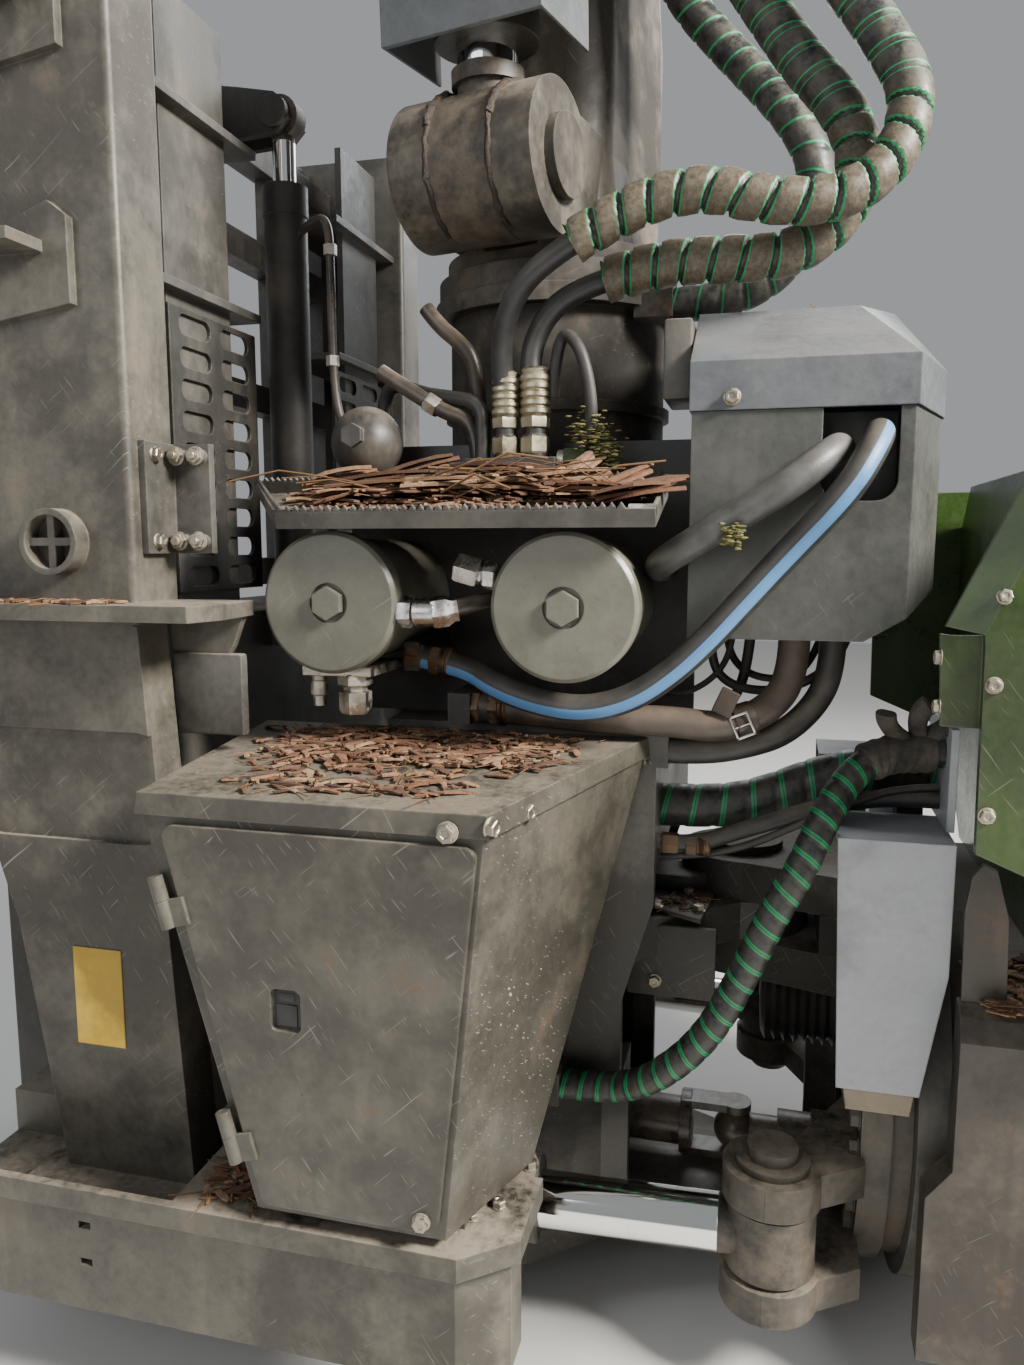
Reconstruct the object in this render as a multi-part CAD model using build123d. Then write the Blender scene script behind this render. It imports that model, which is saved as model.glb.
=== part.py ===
"""Centre section of a forestry forwarder: rear frame head, load gate front, crane foot,
articulated joint and the stub of the front frame. Sizes are in millimetres.

The origin is the middle of the rear frame's end plate. +X points to the front of the
machine, +Y to its left side and +Z up. Pieces that come in pairs are made for the right
side (negative Y) and mirrored. Pairs of numbers are (low, high) unless a comment says more.
"""

from build123d import *
import math
import os

os.makedirs("parts", exist_ok=True)

# Fits shared by all pieces
FACE_GAP = 0.5
PIN_CLEARANCE = 0.05
CUT = 1.0

# Rear frame beam and head
BEAM_LENGTH = 720.0
FRAME_HALF = 290.0
FRAME_WALL = 20.0
FRAME_INNER = FRAME_HALF - FRAME_WALL
FRAME_TOP = 250.0
FRAME_BOTTOM = -240.0
HEAD_BACK = BEAM_LENGTH - 30.0
HEAD_FRONT_TOP = 1084.0
HEAD_FRONT_MID = 1040.0
HEAD_TOP = 500.0
HEAD_MID_Z = 100.0
HEAD_TAPER_TOP = -30.0
HEAD_TAPER_X = (900.0, 1000.0)
HEAD_TAPER_Y = (-200.0, -190.0)
HOSE_PLATE_LOW = 300.0

# Steering axis and its ears
STEER_X = 1200.0
EAR_RADIUS = 105.0
EAR_ROOT_X = 1010.0
LUG_RADIUS = 100.0
UPPER_EAR = (140.0, 200.0)
LOWER_EAR = (-340.0, -300.0)
LUG_THICKNESS = 62.0
LOWER_LUG_THICKNESS = 45.0
LUG_ROOT = 150.0
LUG_WEB_HALF = 140.0
LUG_WEB_GAP = 12.0
LOWER_WEB_Y = (-150.0, -118.0)
LOWER_WEB_TOP = -120.0
HINGE_PIN_RADIUS = 45.0
HINGE_CAP_RADIUS = 62.0
HINGE_CAP_HEIGHT = 14.0
HINGE_FOOT_CAP = 8.0

# Roll bearing between the joint casting and the front frame
ROLL_Z = -50.0
FLANGE_RADIUS = 318.0
FLANGE_X = (1372.0, 1412.0)
FLANGE_HOLE_DROP = 190.0
FLANGE_HOLE_RADIUS = 85.0
BEARING_X = (1412.0, 1440.0)
BEARING_RADIUS = 306.0
BEARING_BORE = 235.0
HOUSING_X = (BEARING_X[1] + FACE_GAP, 1482.0)
HOUSING_RADIUS = 334.0
HOUSING_NECK = 314.0
HOUSING_BORE = 240.0

# Shrouds beside the joint, pad stacks and the hose bulkhead
SHROUD_OUT = 345.0
SHROUD_SHEET = 6.0
SHROUD_X = (1323.0, 1464.0)
SHROUD_TOP = 382.0
SHROUD_STEP = 210.0
SHROUD_FOOT = 43.0
SHROUD_FOOT_X = (1334.0, 1437.0)
SHROUD_IN = 200.0
SHROUD_END_IN = 240.0
STAY_X = (1376.0, 1408.0)
STAY_INNER = (-230.0, -200.0)
STAY_INNER_LOW = 120.0
STAY_OUTER_Z = (60.0, 76.0)
PAD_COUNT = 4
PAD_THICKNESS = 7.0
PAD_X = (1344.0, 1430.0)
PAD_WIDTH = 34.0
BULKHEAD_X = 1458.0
BULKHEAD_THICKNESS = 10.0
BULKHEAD_Y = (-300.0, -120.0)
BULKHEAD_Z = (386.0, 520.0)
BULKHEAD_ARM = (-170.0, -120.0)

# Front frame stub: cheeks that reach back beside the bearing, as (x, z) outline
FRONT_HALF = 400.0
FRONT_TOP = 190.0
FRONT_BOTTOM = -285.0
FRONT_END = 1700.0
FRONT_START = 1504.0
FRONT_WALL = 22.0
FRONT_SHOULDER = ((0.0, 40.0), (12.0, 12.0), (40.0, 0.0))
CHEEK_IN = 356.0
CHEEK = ((1442.0, FRONT_BOTTOM), (1442.0, -60.0), (1472.0, -20.0), (1472.0, FRONT_TOP),
         (FRONT_START, FRONT_TOP), (FRONT_START, FRONT_BOTTOM))
FENDER_Y = (-366.0, -358.0)
FENDER = ((1476.0, FRONT_TOP), (1474.0, 305.0), (1480.0, 350.0), (1492.0, 366.0),
          (1508.0, 360.0), (1524.0, 300.0), (1528.0, FRONT_TOP))

# Green covers on the front frame, outlines as (x, z)
COVER_OUT = 578.0
COVER_SHEET = 12.0
COVER_TOP = 860.0
COVER_PANEL = ((1437.0, 655.0), (1440.0, 440.0), (FRONT_END, 330.0), (FRONT_END, COVER_TOP),
               (1525.0, COVER_TOP), (1436.0, 664.0))
BEVEL_DEPTH = 10.0
BEVEL_SHEET = 8.0
BEVEL_FOOT = (1401.0, 671.0)
COVER_FLANGE = ((1408.0, 662.0), (1414.0, 568.0), (1468.0, 568.0), (1468.0, 662.0))
COVER_FLANGE_SHEET = 6.0
COVER_LATCH = ((1397.0, 663.0), (1402.0, 569.0), (1414.0, 568.0), (1408.0, 662.0))
COVER_LATCH_SHEET = 9.0
HOOD_BACK = 1600.0
HOOD_SLOPE_Z = 330.0
HOOD_RISE = 7.0
HOOD_SHOULDER = 70.0

# Steering cylinders, right-hand one
STEER_PIN_OUT = 60.0
STEER_BASE_OUT = 105.0
STEER_PIN = (1257.0, -FRAME_HALF - STEER_PIN_OUT)
STEER_BASE = (350.0, -FRAME_HALF - STEER_BASE_OUT)
STEER_Z = -170.0
STEER_ROD_RADIUS = 38.0
STEER_BARREL_RADIUS = 58.0
STEER_BORE_RADIUS = 48.0
STEER_GLAND_AT = 590.0
STEER_GLAND_LENGTH = 30.0
STEER_BARREL_FROM = 56.0
STEER_BARREL_END_WALL = 20.0
STEER_NECK_TO = 70.0
STEER_ROD_TIP_AT = 320.0
STEER_EYE_RADIUS = 60.0
STEER_EYE_BORE = 30.0
STEER_EYE_HALF = 46.0
STEER_EAR_RADIUS = 66.0
STEER_EAR_THICKNESS = 46.0
STEER_EAR_GAP = 6.0
STEER_EAR_ROOT = (-330.0, -120.0)
STEER_EAR_BACK = (-8.0, 30.0)
# Steps of the pin's cap: radius, height
STEER_CAP = ((34.0, 26.0), (50.0, 10.0))
BASE_EYE_RADIUS = 46.0
BASE_EYE_HALF = 32.0
BASE_PIN_RADIUS = 24.0
BASE_PIN_END = 10.0

# Side carriers, the low beams under the cabinets
CARRIER_BACK = 150.0
CARRIER_FRONT = 957.0
CARRIER_OUT = 640.0
CARRIER_IN = 596.0
CARRIER_TOP = -60.0
CARRIER_STEP_X = 530.0
CARRIER_STEP_Y = 462.0
CARRIER_LOW_TOP = -126.0
CARRIER_BOTTOM = -238.0
CARRIER_PLATE = 14.0
CARRIER_NOSE = 57.0
CARRIER_CORNER = ((CARRIER_FRONT, -450.0), (905.0, -345.0), (890.0, -FRAME_HALF))
CARRIER_RETURN = -548.0
CARRIER_FLANGE = -560.0
RIM_DEPTH = 12.0
RIM_HEIGHT = 30.0
RIM_END = -480.0
CARRIER_SLOT_X = 398.0
CARRIER_SLOT_Z = (-118.0, -170.0)
CARRIER_SLOT_HALF = (9.0, 5.0)

# Hopper-shaped cabinets, corners as (x, y, z) from the outer back one round
CABINET_WALL = 8.0
CABINET_OUT = 642.0
CABINET_IN = FRAME_HALF + 7.0
CABINET_TOP = ((516.0, -CABINET_OUT, 464.0), (938.0, -CABINET_OUT, 464.0),
               (1068.0, -CABINET_IN, 490.0), (500.0, -CABINET_IN, 490.0))
CABINET_FOOT = ((650.0, -CABINET_OUT, -46.0), (890.0, -CABINET_OUT, -46.0),
                (952.0, -469.0, -46.0), (650.0, -469.0, -46.0))
CABINET_BASE_X = (660.0, 900.0)
CABINET_BASE_IN = 42.0
CABINET_BASE_Y = (-CABINET_OUT + CABINET_BASE_IN, -480.0)
LID_LIP = 7.0
LID_DRAFT = 3.0
LID_HEIGHT = 26.0
DOOR_THICKNESS = 9.0
DOOR_OPENING = ((545.0, 412.0), (900.0, 412.0), (862.0, 2.0), (662.0, 2.0))
DOOR_OUTLINE = ((543.0, 428.0), (932.0, 428.0), (882.0, -34.0), (662.0, -34.0))
DOOR_CORNER = 14.0
LATCH_AT = (700.0, 216.0)
LATCH_SIZE = (52.0, 38.0)
LATCH_CORNER = 8.0
LATCH_DEPTH = 6.0
HINGE_OUT = 12.0
HINGE_LINE = ((528.0, -CABINET_OUT - HINGE_OUT, 400.0), (641.0, -CABINET_OUT - HINGE_OUT, -20.0))
HINGE_PLACES = (0.16, 0.84)
HINGE_RADIUS = 9.0
HINGE_PIN_SMALL = 4.0
HINGE_FOOT = 34.0
HINGE_SPLIT = (-4.0, -3.5)
HINGE_HEAD = 30.0
HINGE_TAB = 8.0
# Door leaf of a hinge: width, thickness, then its place along and across the door
HINGE_LEAF = (24.0, 6.0)
HINGE_LEAF_AT = (16.0, -1.0)

# Load gate posts, outlines as (x, z)
POST_OUT = 540.0
POST_IN = 440.0
LEG_IN = 474.0
POST_BACK = 130.0
POST_FRONT = 450.0
POST_TOP = 1560.0
POST_KNEE = 650.0
POST_FOOT = -112.0
POST_FOOT_X = (298.0, 497.0)
POST_FOOT_BACK = 40.0
POST_FOOT_FRONT = 20.0
POST_FOOT_OUT = 54.0
POST_CORNER = 9.0
LEG_BACK = ((241.0, 241.0), (POST_BACK, POST_KNEE - 40.0))
RECESS_AT = (330.0, 437.0)
RECESS_SPAN = 210.0
RECESS_WIDTH = 150.0
RECESS_DEPTH = 7.0
LEDGE_Z = (POST_KNEE + 10.0, POST_KNEE + 30.0)
LEDGE_OUT = 60.0
LEDGE_FRONT = (560.0, 572.0)
POST_WEB_DROP = 150.0
POST_WEB = ((POST_FRONT - 6.0, LEDGE_Z[0]), (556.0, LEDGE_Z[0]), (540.0, POST_KNEE - 30.0),
            (POST_FRONT + 12.0, POST_KNEE - POST_WEB_DROP))
POST_WEB_Y = (-462.0, -450.0)
GUSSET_AT = (1108.0, 1404.0)
GUSSET = ((POST_BACK, -20.0), (362.0, 60.0), (388.0, 40.0), (388.0, -62.0), (POST_BACK, -100.0))
GUSSET_SHEET = 12.0
# Shelf on the gusset: front X, width, thickness
GUSSET_SHELF = (352.0, 60.0, 14.0)
SOCKET_AT = (345.0, 757.0)
SOCKET_RADII = (42.0, 34.0)
SOCKET_RIM = 26.0
# Cross in the plug: depth of its arms, half width
SOCKET_CROSS = (18.0, 5.0)

# Load gate frame, sliding gate, screens and cylinder
SILL_X = (200.0, 440.0)
SILL_TOP = 650.0
SHELF_X = (300.0, 430.0)
SHELF_IN = 150.0
SHELF_THICKNESS = 12.0
SHELF_HEIGHTS = (1102.0, 1347.0)
STRIP_X = (400.0, 412.0)
STRIP_Y = (-383.0, -215.0)
STRIP_DROP = 60.0
TOP_RAIL_X = (160.0, 240.0)
TOP_RAIL_DROP = (60.0, 20.0)
TOP_RAIL_Z = (POST_TOP - TOP_RAIL_DROP[0], POST_TOP - TOP_RAIL_DROP[1])
SCREEN_X = (412.0, 418.0)
SCREEN_Y = (-388.0, -150.0)
SCREEN_Z = (686.0, 1083.0)
SLOT_ROWS = 9
SLOT_HEIGHT = 28.0
SLOT_LENGTH = 82.0
SLOT_COLUMNS = (0.27, 0.73)
PAD_BRACKET_LOW = 92.0
PAD_BRACKET_HIGH = 234.0
PAD_BRACKET_Z = (POST_KNEE + PAD_BRACKET_LOW, POST_KNEE + PAD_BRACKET_HIGH)
PAD_BRACKET_SHEET = 10.0
PAD_BRACKET_OUT = 20.0
PAD_BRACKET_LIP = (-456.0, -444.0)
PAD_BRACKET_REACH = 62.0
PAD_BOLT_X = (22.0, 50.0)
PAD_BOLT_EDGE = 16.0
PAD_BOLT_HEAD = 14.0
PAD_BOLT_RADIUS = 9.0
SLIDE_X = (250.0, 292.0)
SLIDE_REACH = POST_IN - 12.0
SLIDE_BAR = 50.0
SLIDE_FOOT = 30.0
SLIDE_DROP = 70.0
SLIDE_Z = (SILL_TOP + SLIDE_FOOT, POST_TOP - SLIDE_DROP)
SLIDE_BARS = (SLIDE_Z[0], 1000.0, 1260.0, SLIDE_Z[1] - SLIDE_BAR)
SLIDE_UPRIGHTS = (-SLIDE_REACH, -230.0, 180.0, SLIDE_REACH - SLIDE_BAR)
GATE_CYL = (456.0, -106.0)
GATE_CYL_RADIUS = 34.0
GATE_CYL_BORE = 24.0
GATE_CYL_FLOOR = 60.0
GATE_FOOT_HALF = (60.0, 40.0)
GATE_GLAND_Z = (-40.0, 6.0)
GATE_GLAND_RADIUS = GATE_CYL_RADIUS + 2.0
GATE_ROD_RADIUS = 18.0
GATE_ROD_FOOT = 860.0
GATE_ROD_EYE_Z = 1421.0
# Eye of the gate's rod: radius, half width, bore radius
GATE_ROD_EYE = (32.0, 16.0, 14.0)
GATE_BARREL_TOP = 1312.0
GATE_CHEEK_Y = (19.0, 31.0)
GATE_CHEEK = ((-60.0, 42.0), (0.0, 30.0), (20.0, 14.0), (24.0, -10.0), (4.0, -30.0))
GATE_CHEEK_ROOT = (-40.0, 60.0)
# Pin through it: radius and half length, then the head's radius and thickness
GATE_PIN = (13.9, 40.0)
GATE_PIN_HEAD = (24.0, 10.0)

# Crane foot and king post
SLEW = (880.0, 0.0)
CRANE_RADIUS = 172.0
CRANE_TOP = 1128.0
CRANE_FLANGE_RADIUS = 196.0
CRANE_FLANGE_HEIGHT = 26.0
# Skirt round the crane foot: height, how far it stands out
CRANE_SKIRT = (30.0, 30.0)
# Band round the column: low and high Z, how far it stands out
CRANE_BAND = (950.0, 966.0, 9.0)
CRANE_PORT_X = (140.0, 197.0)
CRANE_PORT_Y = (-125.0, -75.0)
CRANE_PORT_Z = (1085.0, 1125.0)
SLEW_RING_HEIGHT = 34.0
SLEW_RING_RADIUS = 190.0
REST_ANGLE = 257.5
# Round foot flange: radius, height
KING_FOOT = (176.0, 30.0)
KING_FOOT_Z = CRANE_TOP + SLEW_RING_HEIGHT
KING_TOP = 2040.0
# King post sections: height, shift away from the lift cylinder, width, depth, corner radius
KING_SECTIONS = (
    (KING_FOOT_Z, 0.0, 270.0, 300.0, 90.0),
    (1330.0, 52.0, 226.0, 330.0, 60.0),
    (1560.0, 64.0, 220.0, 300.0, 50.0),
    (KING_TOP, 40.0, 200.0, 190.0, 40.0),
)
BOOM_PIN_Z = 1965.0
BOOM_PIN_OUT = -40.0
BOOM_PIN_BORE = 40.0
# Boss for the boom's pin: radius, half length
BOOM_BOSS = (72.0, 105.0)
LIFT_PIN_OUT = 230.0
LIFT_PIN_Z = 1272.0
LIFT_LEAN = 3.0
LIFT_EYE_RADIUS = 98.0
LIFT_EYE_HALF = 44.0
LIFT_EYE_CLEAR = 8.0
LIFT_EAR = (45.0, 108.0)
# Arm of an ear: height, reach into the shaft
LIFT_ARM = (150.0, 170.0)
LIFT_ROD_RADIUS = 42.5
LIFT_ROD_END = 640.0
LIFT_NECK_FROM = 60.0
# Collar on the rod: from, to, how far it stands out
LIFT_COLLAR = (104.0, 124.0, 8.0)
LIFT_PIN_RADIUS = 35.0
# Head of the pin: radius, thickness
LIFT_PIN_HEAD = (54.0, 14.0)
LIFT_BARREL_RADIUS = 66.0
LIFT_BORE_RADIUS = 54.0
LIFT_BARREL = (172.0, 700.0)
LIFT_BARREL_CAP = 30.0
# Gland: from and to along the barrel, how far it stands out
LIFT_GLAND = (-14.0, 26.0, 6.0)
# Upper eye: radius, half width
LIFT_TOP_EYE = (52.0, 40.0)
LIFT_TOP_AT = 740.0
LIFT_TOP_BORE = 32.0
GUARD_WIDTH = 240.0
GUARD_DEPTH = 152.0
GUARD_LENGTH = 380.0
GUARD_SHEET = 4.0
GUARD_FOOT = 20.0
# Stay between guard and barrel: its three sides, then its place across and along
GUARD_STAY = (60.0, 12.0, 40.0)
GUARD_STAY_AT = (-70.0, 330.0)
BRACKET_Z = 1740.0
BRACKET_SHEET = 10.0
BRACKET_OUTLINE = ((60.0, -40.0), (345.0, -40.0), (345.0, 165.0), (240.0, 165.0),
                   (140.0, 60.0), (60.0, 60.0))
BRACKET_GUSSET = (24.0, 170.0)

# Valve cabinet, lid top as (x, y)
VALVE_OUT = -350.0
VALVE_BACK = 1126.0
VALVE_FRONT = 1390.0
VALVE_NOSE = (1440.0, -200.0)
VALVE_IN = 20.0
VALVE_BOTTOM = 634.0
VALVE_SEAM = 918.0
VALVE_BEVEL = 978.0
VALVE_TOP = 1064.0
VALVE_WALL = 6.0
VALVE_LID_GROW = 3.0
VALVE_LID_ROOF = 2.0
VALVE_LID_TOP = ((VALVE_BACK - 3.0, VALVE_IN + 3.0), (VALVE_BACK - 3.0, -215.0),
                 (1330.0, -215.0), (1380.0, -150.0), (1380.0, VALVE_IN + 3.0))
VALVE_NOTCH_X = (1284.0, 1373.0)
VALVE_NOTCH_LOW = 806.0
VALVE_NOTCH_CORNER = 26.0
VALVE_CORNER = ((1340.0, VALVE_BOTTOM - CUT), (1460.0, VALVE_BOTTOM - CUT), (1460.0, 706.0))
VALVE_PANEL_X = (1272.0, 1376.0)
VALVE_PANEL_Y = (-296.0, -290.0)
VALVE_PANEL_LOW = 780.0
VALVE_ARM_FROM = 150.0
VALVE_ARM_X = SLEW[0] + VALVE_ARM_FROM
VALVE_ARM_Y = (-60.0, 0.0)
VALVE_ARM_Z = (700.0, 860.0)

# Filters, their stand with its fittings, and the tray above
FILTER_RADIUS = 84.0
FILTER_CAP_RADIUS = 93.0
FILTER_CAP = 30.0
FILTER_CHAMFER = 5.0
# Dimple: radius, depth. Plug: hexagon radius, seat height, height
FILTER_DIMPLE = (26.0, 6.0)
FILTER_PLUG = (22.0, 7.0, 16.0)
FILTER_LENGTH = 250.0
FILTER_FRONT_Y = -450.0
FILTERS = {"filter_rear": (673.0, 678.0), "filter_front": (984.0, 676.0)}
STAND_BACK = 600.0
STAND_TOP = 900.0
STAND_PLATE = 12.0
STAND_FACE = FILTER_FRONT_Y + FILTER_LENGTH
STAND_CLEAR = 3.0
MANIFOLD = ((812.0, 940.0), (-298.0, -236.0), (834.0, 872.0))
MANIFOLD_FOOT = ((860.0, 910.0), (-236.0, STAND_FACE), (834.0, 866.0))
FITTING_RADIUS = 17.0
TRAY_X = (617.0, 1098.0)
TRAY_BACK_X = 500.0
TRAY_Y = (-478.0, -300.0)
TRAY_Z = 773.0
TRAY_RISE = 53.0
TRAY_RIM = 22.0
TRAY_SHEET = 5.0
# Rim's width at the front end and at the back end
TRAY_SIDE = (8.0, 10.0)
# Stay under the tray: X values, rise below and above the tray's inner edge
TRAY_STAY = ((620.0, 800.0), (-2.0, 3.0))
ACCUMULATOR = (653.0, -260.0, 900.0)
ACCUMULATOR_RADIUS = 52.0
# Cap: hexagon radius, reach, rise, height. Stem: radius, where it starts below the middle
ACCUMULATOR_CAP = (17.0, 44.0, 6.0, 16.0)
ACCUMULATOR_STEM = (18.0, 40.0)
PIPE_RADIUS = 11.0
PIPE_ROUTE = ((655.0, 1000.0), (740.0, -240.0, 968.0), (830.0, -268.0, 950.0),
              (830.0, -268.0, 872.0))
PIPE_BENDS = (30.0, 40.0, 30.0)

# Driveshaft under the joint
SHAFT_Z = -240.0
SHAFT_RADIUS = 40.0
SHAFT_BALL = 36.0
SHAFT_BEARING_FROM = 50.0
SHAFT_BEARING_X = BEAM_LENGTH + SHAFT_BEARING_FROM
SHAFT_PLATE_TOP = -170.0
SHAFT_REAR_END = 1128.0
SHAFT_COLLARS = ((990.0, 1020.0), (1108.0, 1126.0))
SHAFT_COLLAR_RADIUS = 52.0
YOKE_BACK = 1110.0
YOKE_HALF = 22.0
YOKE_RADIUS = 26.0
YOKE_SHEET = 13.0
YOKE_GAP = 0.3
SHAFT_NECK = (27.0, 1300.0)
SHAFT_FRONT = (1270.0, 1410.0)

BASE = (Align.CENTER, Align.CENTER, Align.MIN)

# Places where hoses leave fixed pieces, as (x, y, z)
BASE_LEFT_START = (864.0, -268.0, 905.0)
BASE_RIGHT_START = (906.0, -268.0, 905.0)
BLUE_START = (762.0, -330.0, 597.0)
BLUE_NIPPLE = (748.0, -330.0, 599.3)
BROWN_START = (832.0, -320.0, 528.0)
BLACK_START = (1100.0, -272.0, 470.0)
NEAR_START = (960.0, -318.0, -18.0)
# Blocks behind those places: half height, side reach, length
BLUE_BLOCK = (20.0, 15.0, 21.0)
BROWN_BLOCK = (21.5, 24.0, 32.0)
BLACK_BLOCK = (22.0, 18.0)
NEAR_BLOCK = (24.0, 24.0, 30.0)

# Where the crane's hoses end under the king post's bracket: place along the pins, outward
BRACKET_PORTS = {
    "hose_boom_upper": (290.0, 110.0),
    "hose_boom_lower": (215.0, 70.0),
    "hose_boom_rear": (150.0, 20.0),
}
PORT_RUN = 76.0

# Share of a run that a hose's bend takes up on each side
BEND_SHARE = 0.45

# Hoses: name, outside diameter, route. Bundles wrapped in a spiral guard are one tube each.
HOSES = (
    ("hose_boom_upper", 56.0, ((968, -330, 1136), (1036.8, -330, 1174.2), (1130, -330, 1192),
                               (1213, -330, 1166), (1298, -316, 1165), (1362, -295, 1217),
                               (1379, -272, 1298), (1339, -256, 1375), (1295, -238, 1445),
                               (1248.1, -213.6, 1515.9), (1194, -190, 1579))),
    ("hose_boom_lower", 60.0, ((1000, -262, 1104), (1071.7, -262, 1122.9), (1160, -264, 1120),
                               (1242, -258, 1121), (1306, -242, 1170), (1326, -221, 1246),
                               (1295, -204, 1320), (1246, -186, 1382), (1205, -164, 1451),
                               (1164.6, -144.8, 1518.4), (1122, -128, 1588))),
    ("hose_boom_rear", 52.0, ((1077, -100, 1105), (1154, -100, 1105), (1225, -110, 1136),
                              (1269, -118, 1201), (1272, -121, 1279), (1235, -110, 1347),
                              (1190, -85, 1406), (1142, -66, 1464), (1091.5, -57.3, 1523.5),
                              (1050, -54, 1590))),
    ("hose_base_left", 30.0, (BASE_LEFT_START, (864, -268, 948.8), (859, -277, 1000),
                              (868, -297, 1046), (892, -318, 1084), (928.4, -330, 1114),
                              (968, -330, 1136))),
    ("hose_base_right", 30.0, (BASE_RIGHT_START, (906, -268, 948.8), (896, -266, 1006),
                               (914, -263, 1057), (951, -262, 1091.1), (1000, -262, 1104))),
    ("hose_blue_stripe", 36.0, (BLUE_START, (825.9, -330, 586.5), (878, -363, 563),
                                (939, -372, 545), (1000, -376, 539), (1062, -379, 557),
                                (1114, -383, 595), (1157, -387, 638), (1200, -390, 688),
                                (1247, -391, 742), (1313, -413, 815), (1340, -390, 864),
                                (1352, -347.7, 890), (1352, -296, 890))),
    ("hose_grey", 38.0, ((1306, -296, 872), (1306, -344.6, 872), (1287, -384, 856),
                         (1250, -401, 826), (1204, -392, 797), (1159, -386, 771),
                         (1118, -376, 746), (1090, -342, 729), (1083, -295, 724),
                         (1082, -245.7, 722), (1082, -200, 722))),
    ("hose_brown_sleeve", 42.0, (BROWN_START, (888.1, -320, 528), (945, -316, 522),
                                 (999, -313, 519), (1052, -310, 517), (1107, -307, 517),
                                 (1174, -299, 509), (1233, -275, 533), (1262, -262, 578.5),
                                 (1262, -262, 634))),
    ("hose_black", 36.0, (BLACK_START, (1148.2, -272, 470), (1205, -265, 481),
                          (1254, -249, 497), (1295, -229, 536), (1314, -220, 583),
                          (1314, -220, 634))),
    ("hose_near_spiral", 42.0, (NEAR_START, (1027.7, -318, -18), (1084, -341, 13),
                                (1131, -354, 57), (1168, -358, 104), (1198, -360, 162),
                                (1224, -360, 224), (1250, -356, 285), (1282, -345, 342),
                                (1309, -320, 408), (1349, -275, 462), (1399.9, -254, 482),
                                (1458, -254, 482))),
    ("hose_far_spiral", 64.0, ((1084, -190, 372), (1155.8, -190, 372), (1227, -188, 387),
                               (1316, -177, 426), (1387.4, -172, 440), (1458, -172, 440))),
    ("hose_thin_pair", 24.0, ((1084, -246, 330), (1138.3, -246, 330), (1189, -246, 351),
                              (1244, -246, 372), (1294, -244, 392), (1346, -242, 406),
                              (1402.2, -232, 412), (1458, -232, 412))),
)


def block(x, y, z):
    """Box between the two values of each pair."""
    pairs = (sorted(x), sorted(y), sorted(z))
    size = [high - low for low, high in pairs]
    middle = [(high + low) / 2 for low, high in pairs]
    return Pos(*middle) * Box(*size)


def bar(start, end, radius):
    """Round bar from one point to another."""
    run = Vector(*end) - Vector(*start)
    return Plane(origin=start, z_dir=run) * Cylinder(radius, run.length, align=BASE)


def pipe(start, end, outer, inner):
    return bar(start, end, outer) - bar(start, end, inner)


def post(x, y, z, radius):
    """Upright round bar between two Z values."""
    return bar((x, y, z[0]), (x, y, z[1]), radius)


def polygon(points):
    return Face(Wire.make_polygon([Vector(*point) for point in points], close=True))


def plate_xz(points, y):
    """Outline of (x, z) points between two Y values."""
    return Solid.extrude(polygon([(px, y[0], pz) for px, pz in points]), Vector(0, y[1] - y[0], 0))


def plate_xy(points, z):
    """Outline of (x, y) points between two Z values."""
    return Solid.extrude(polygon([(px, py, z[0]) for px, py in points]), Vector(0, 0, z[1] - z[0]))


def plate_yz(points, x):
    """Outline of (y, z) points between two X values."""
    return Solid.extrude(polygon([(x[0], py, pz) for py, pz in points]), Vector(x[1] - x[0], 0, 0))


def round_z(shape, radius):
    return fillet(shape.edges().filter_by(Axis.Z), radius)


def left(shape):
    return mirror(shape, about=Plane.XZ)


def both(shape):
    return shape + left(shape)


def save(shape, name):
    export_step(shape, f"parts/{name}.step")


def rear_frame():
    """Box beam, closed by the end plate at X = 0, with the steering cylinders' base ears."""
    beam = block((0, BEAM_LENGTH), (-FRAME_HALF, FRAME_HALF), (FRAME_BOTTOM, FRAME_TOP))
    inner_z = (FRAME_BOTTOM + FRAME_WALL, FRAME_TOP - FRAME_WALL)
    beam -= block((FRAME_WALL, BEAM_LENGTH), (-FRAME_INNER, FRAME_INNER), inner_z)
    ears = Part()
    reach = BASE_EYE_HALF + STEER_EAR_GAP
    for low in (STEER_Z - reach - FRAME_WALL, STEER_Z + reach):
        z = (low, low + FRAME_WALL)
        ears += block((STEER_BASE[0] - BASE_EYE_RADIUS, STEER_BASE[0] + BASE_EYE_RADIUS),
                      (STEER_BASE[1], -FRAME_HALF), z)
        ears += post(*STEER_BASE, z, BASE_EYE_RADIUS)
    pin_half = reach + FRAME_WALL + BASE_PIN_END
    ears += post(*STEER_BASE, (STEER_Z - pin_half, STEER_Z + pin_half), BASE_PIN_RADIUS)
    save(beam + both(ears), "rear_frame")


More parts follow.
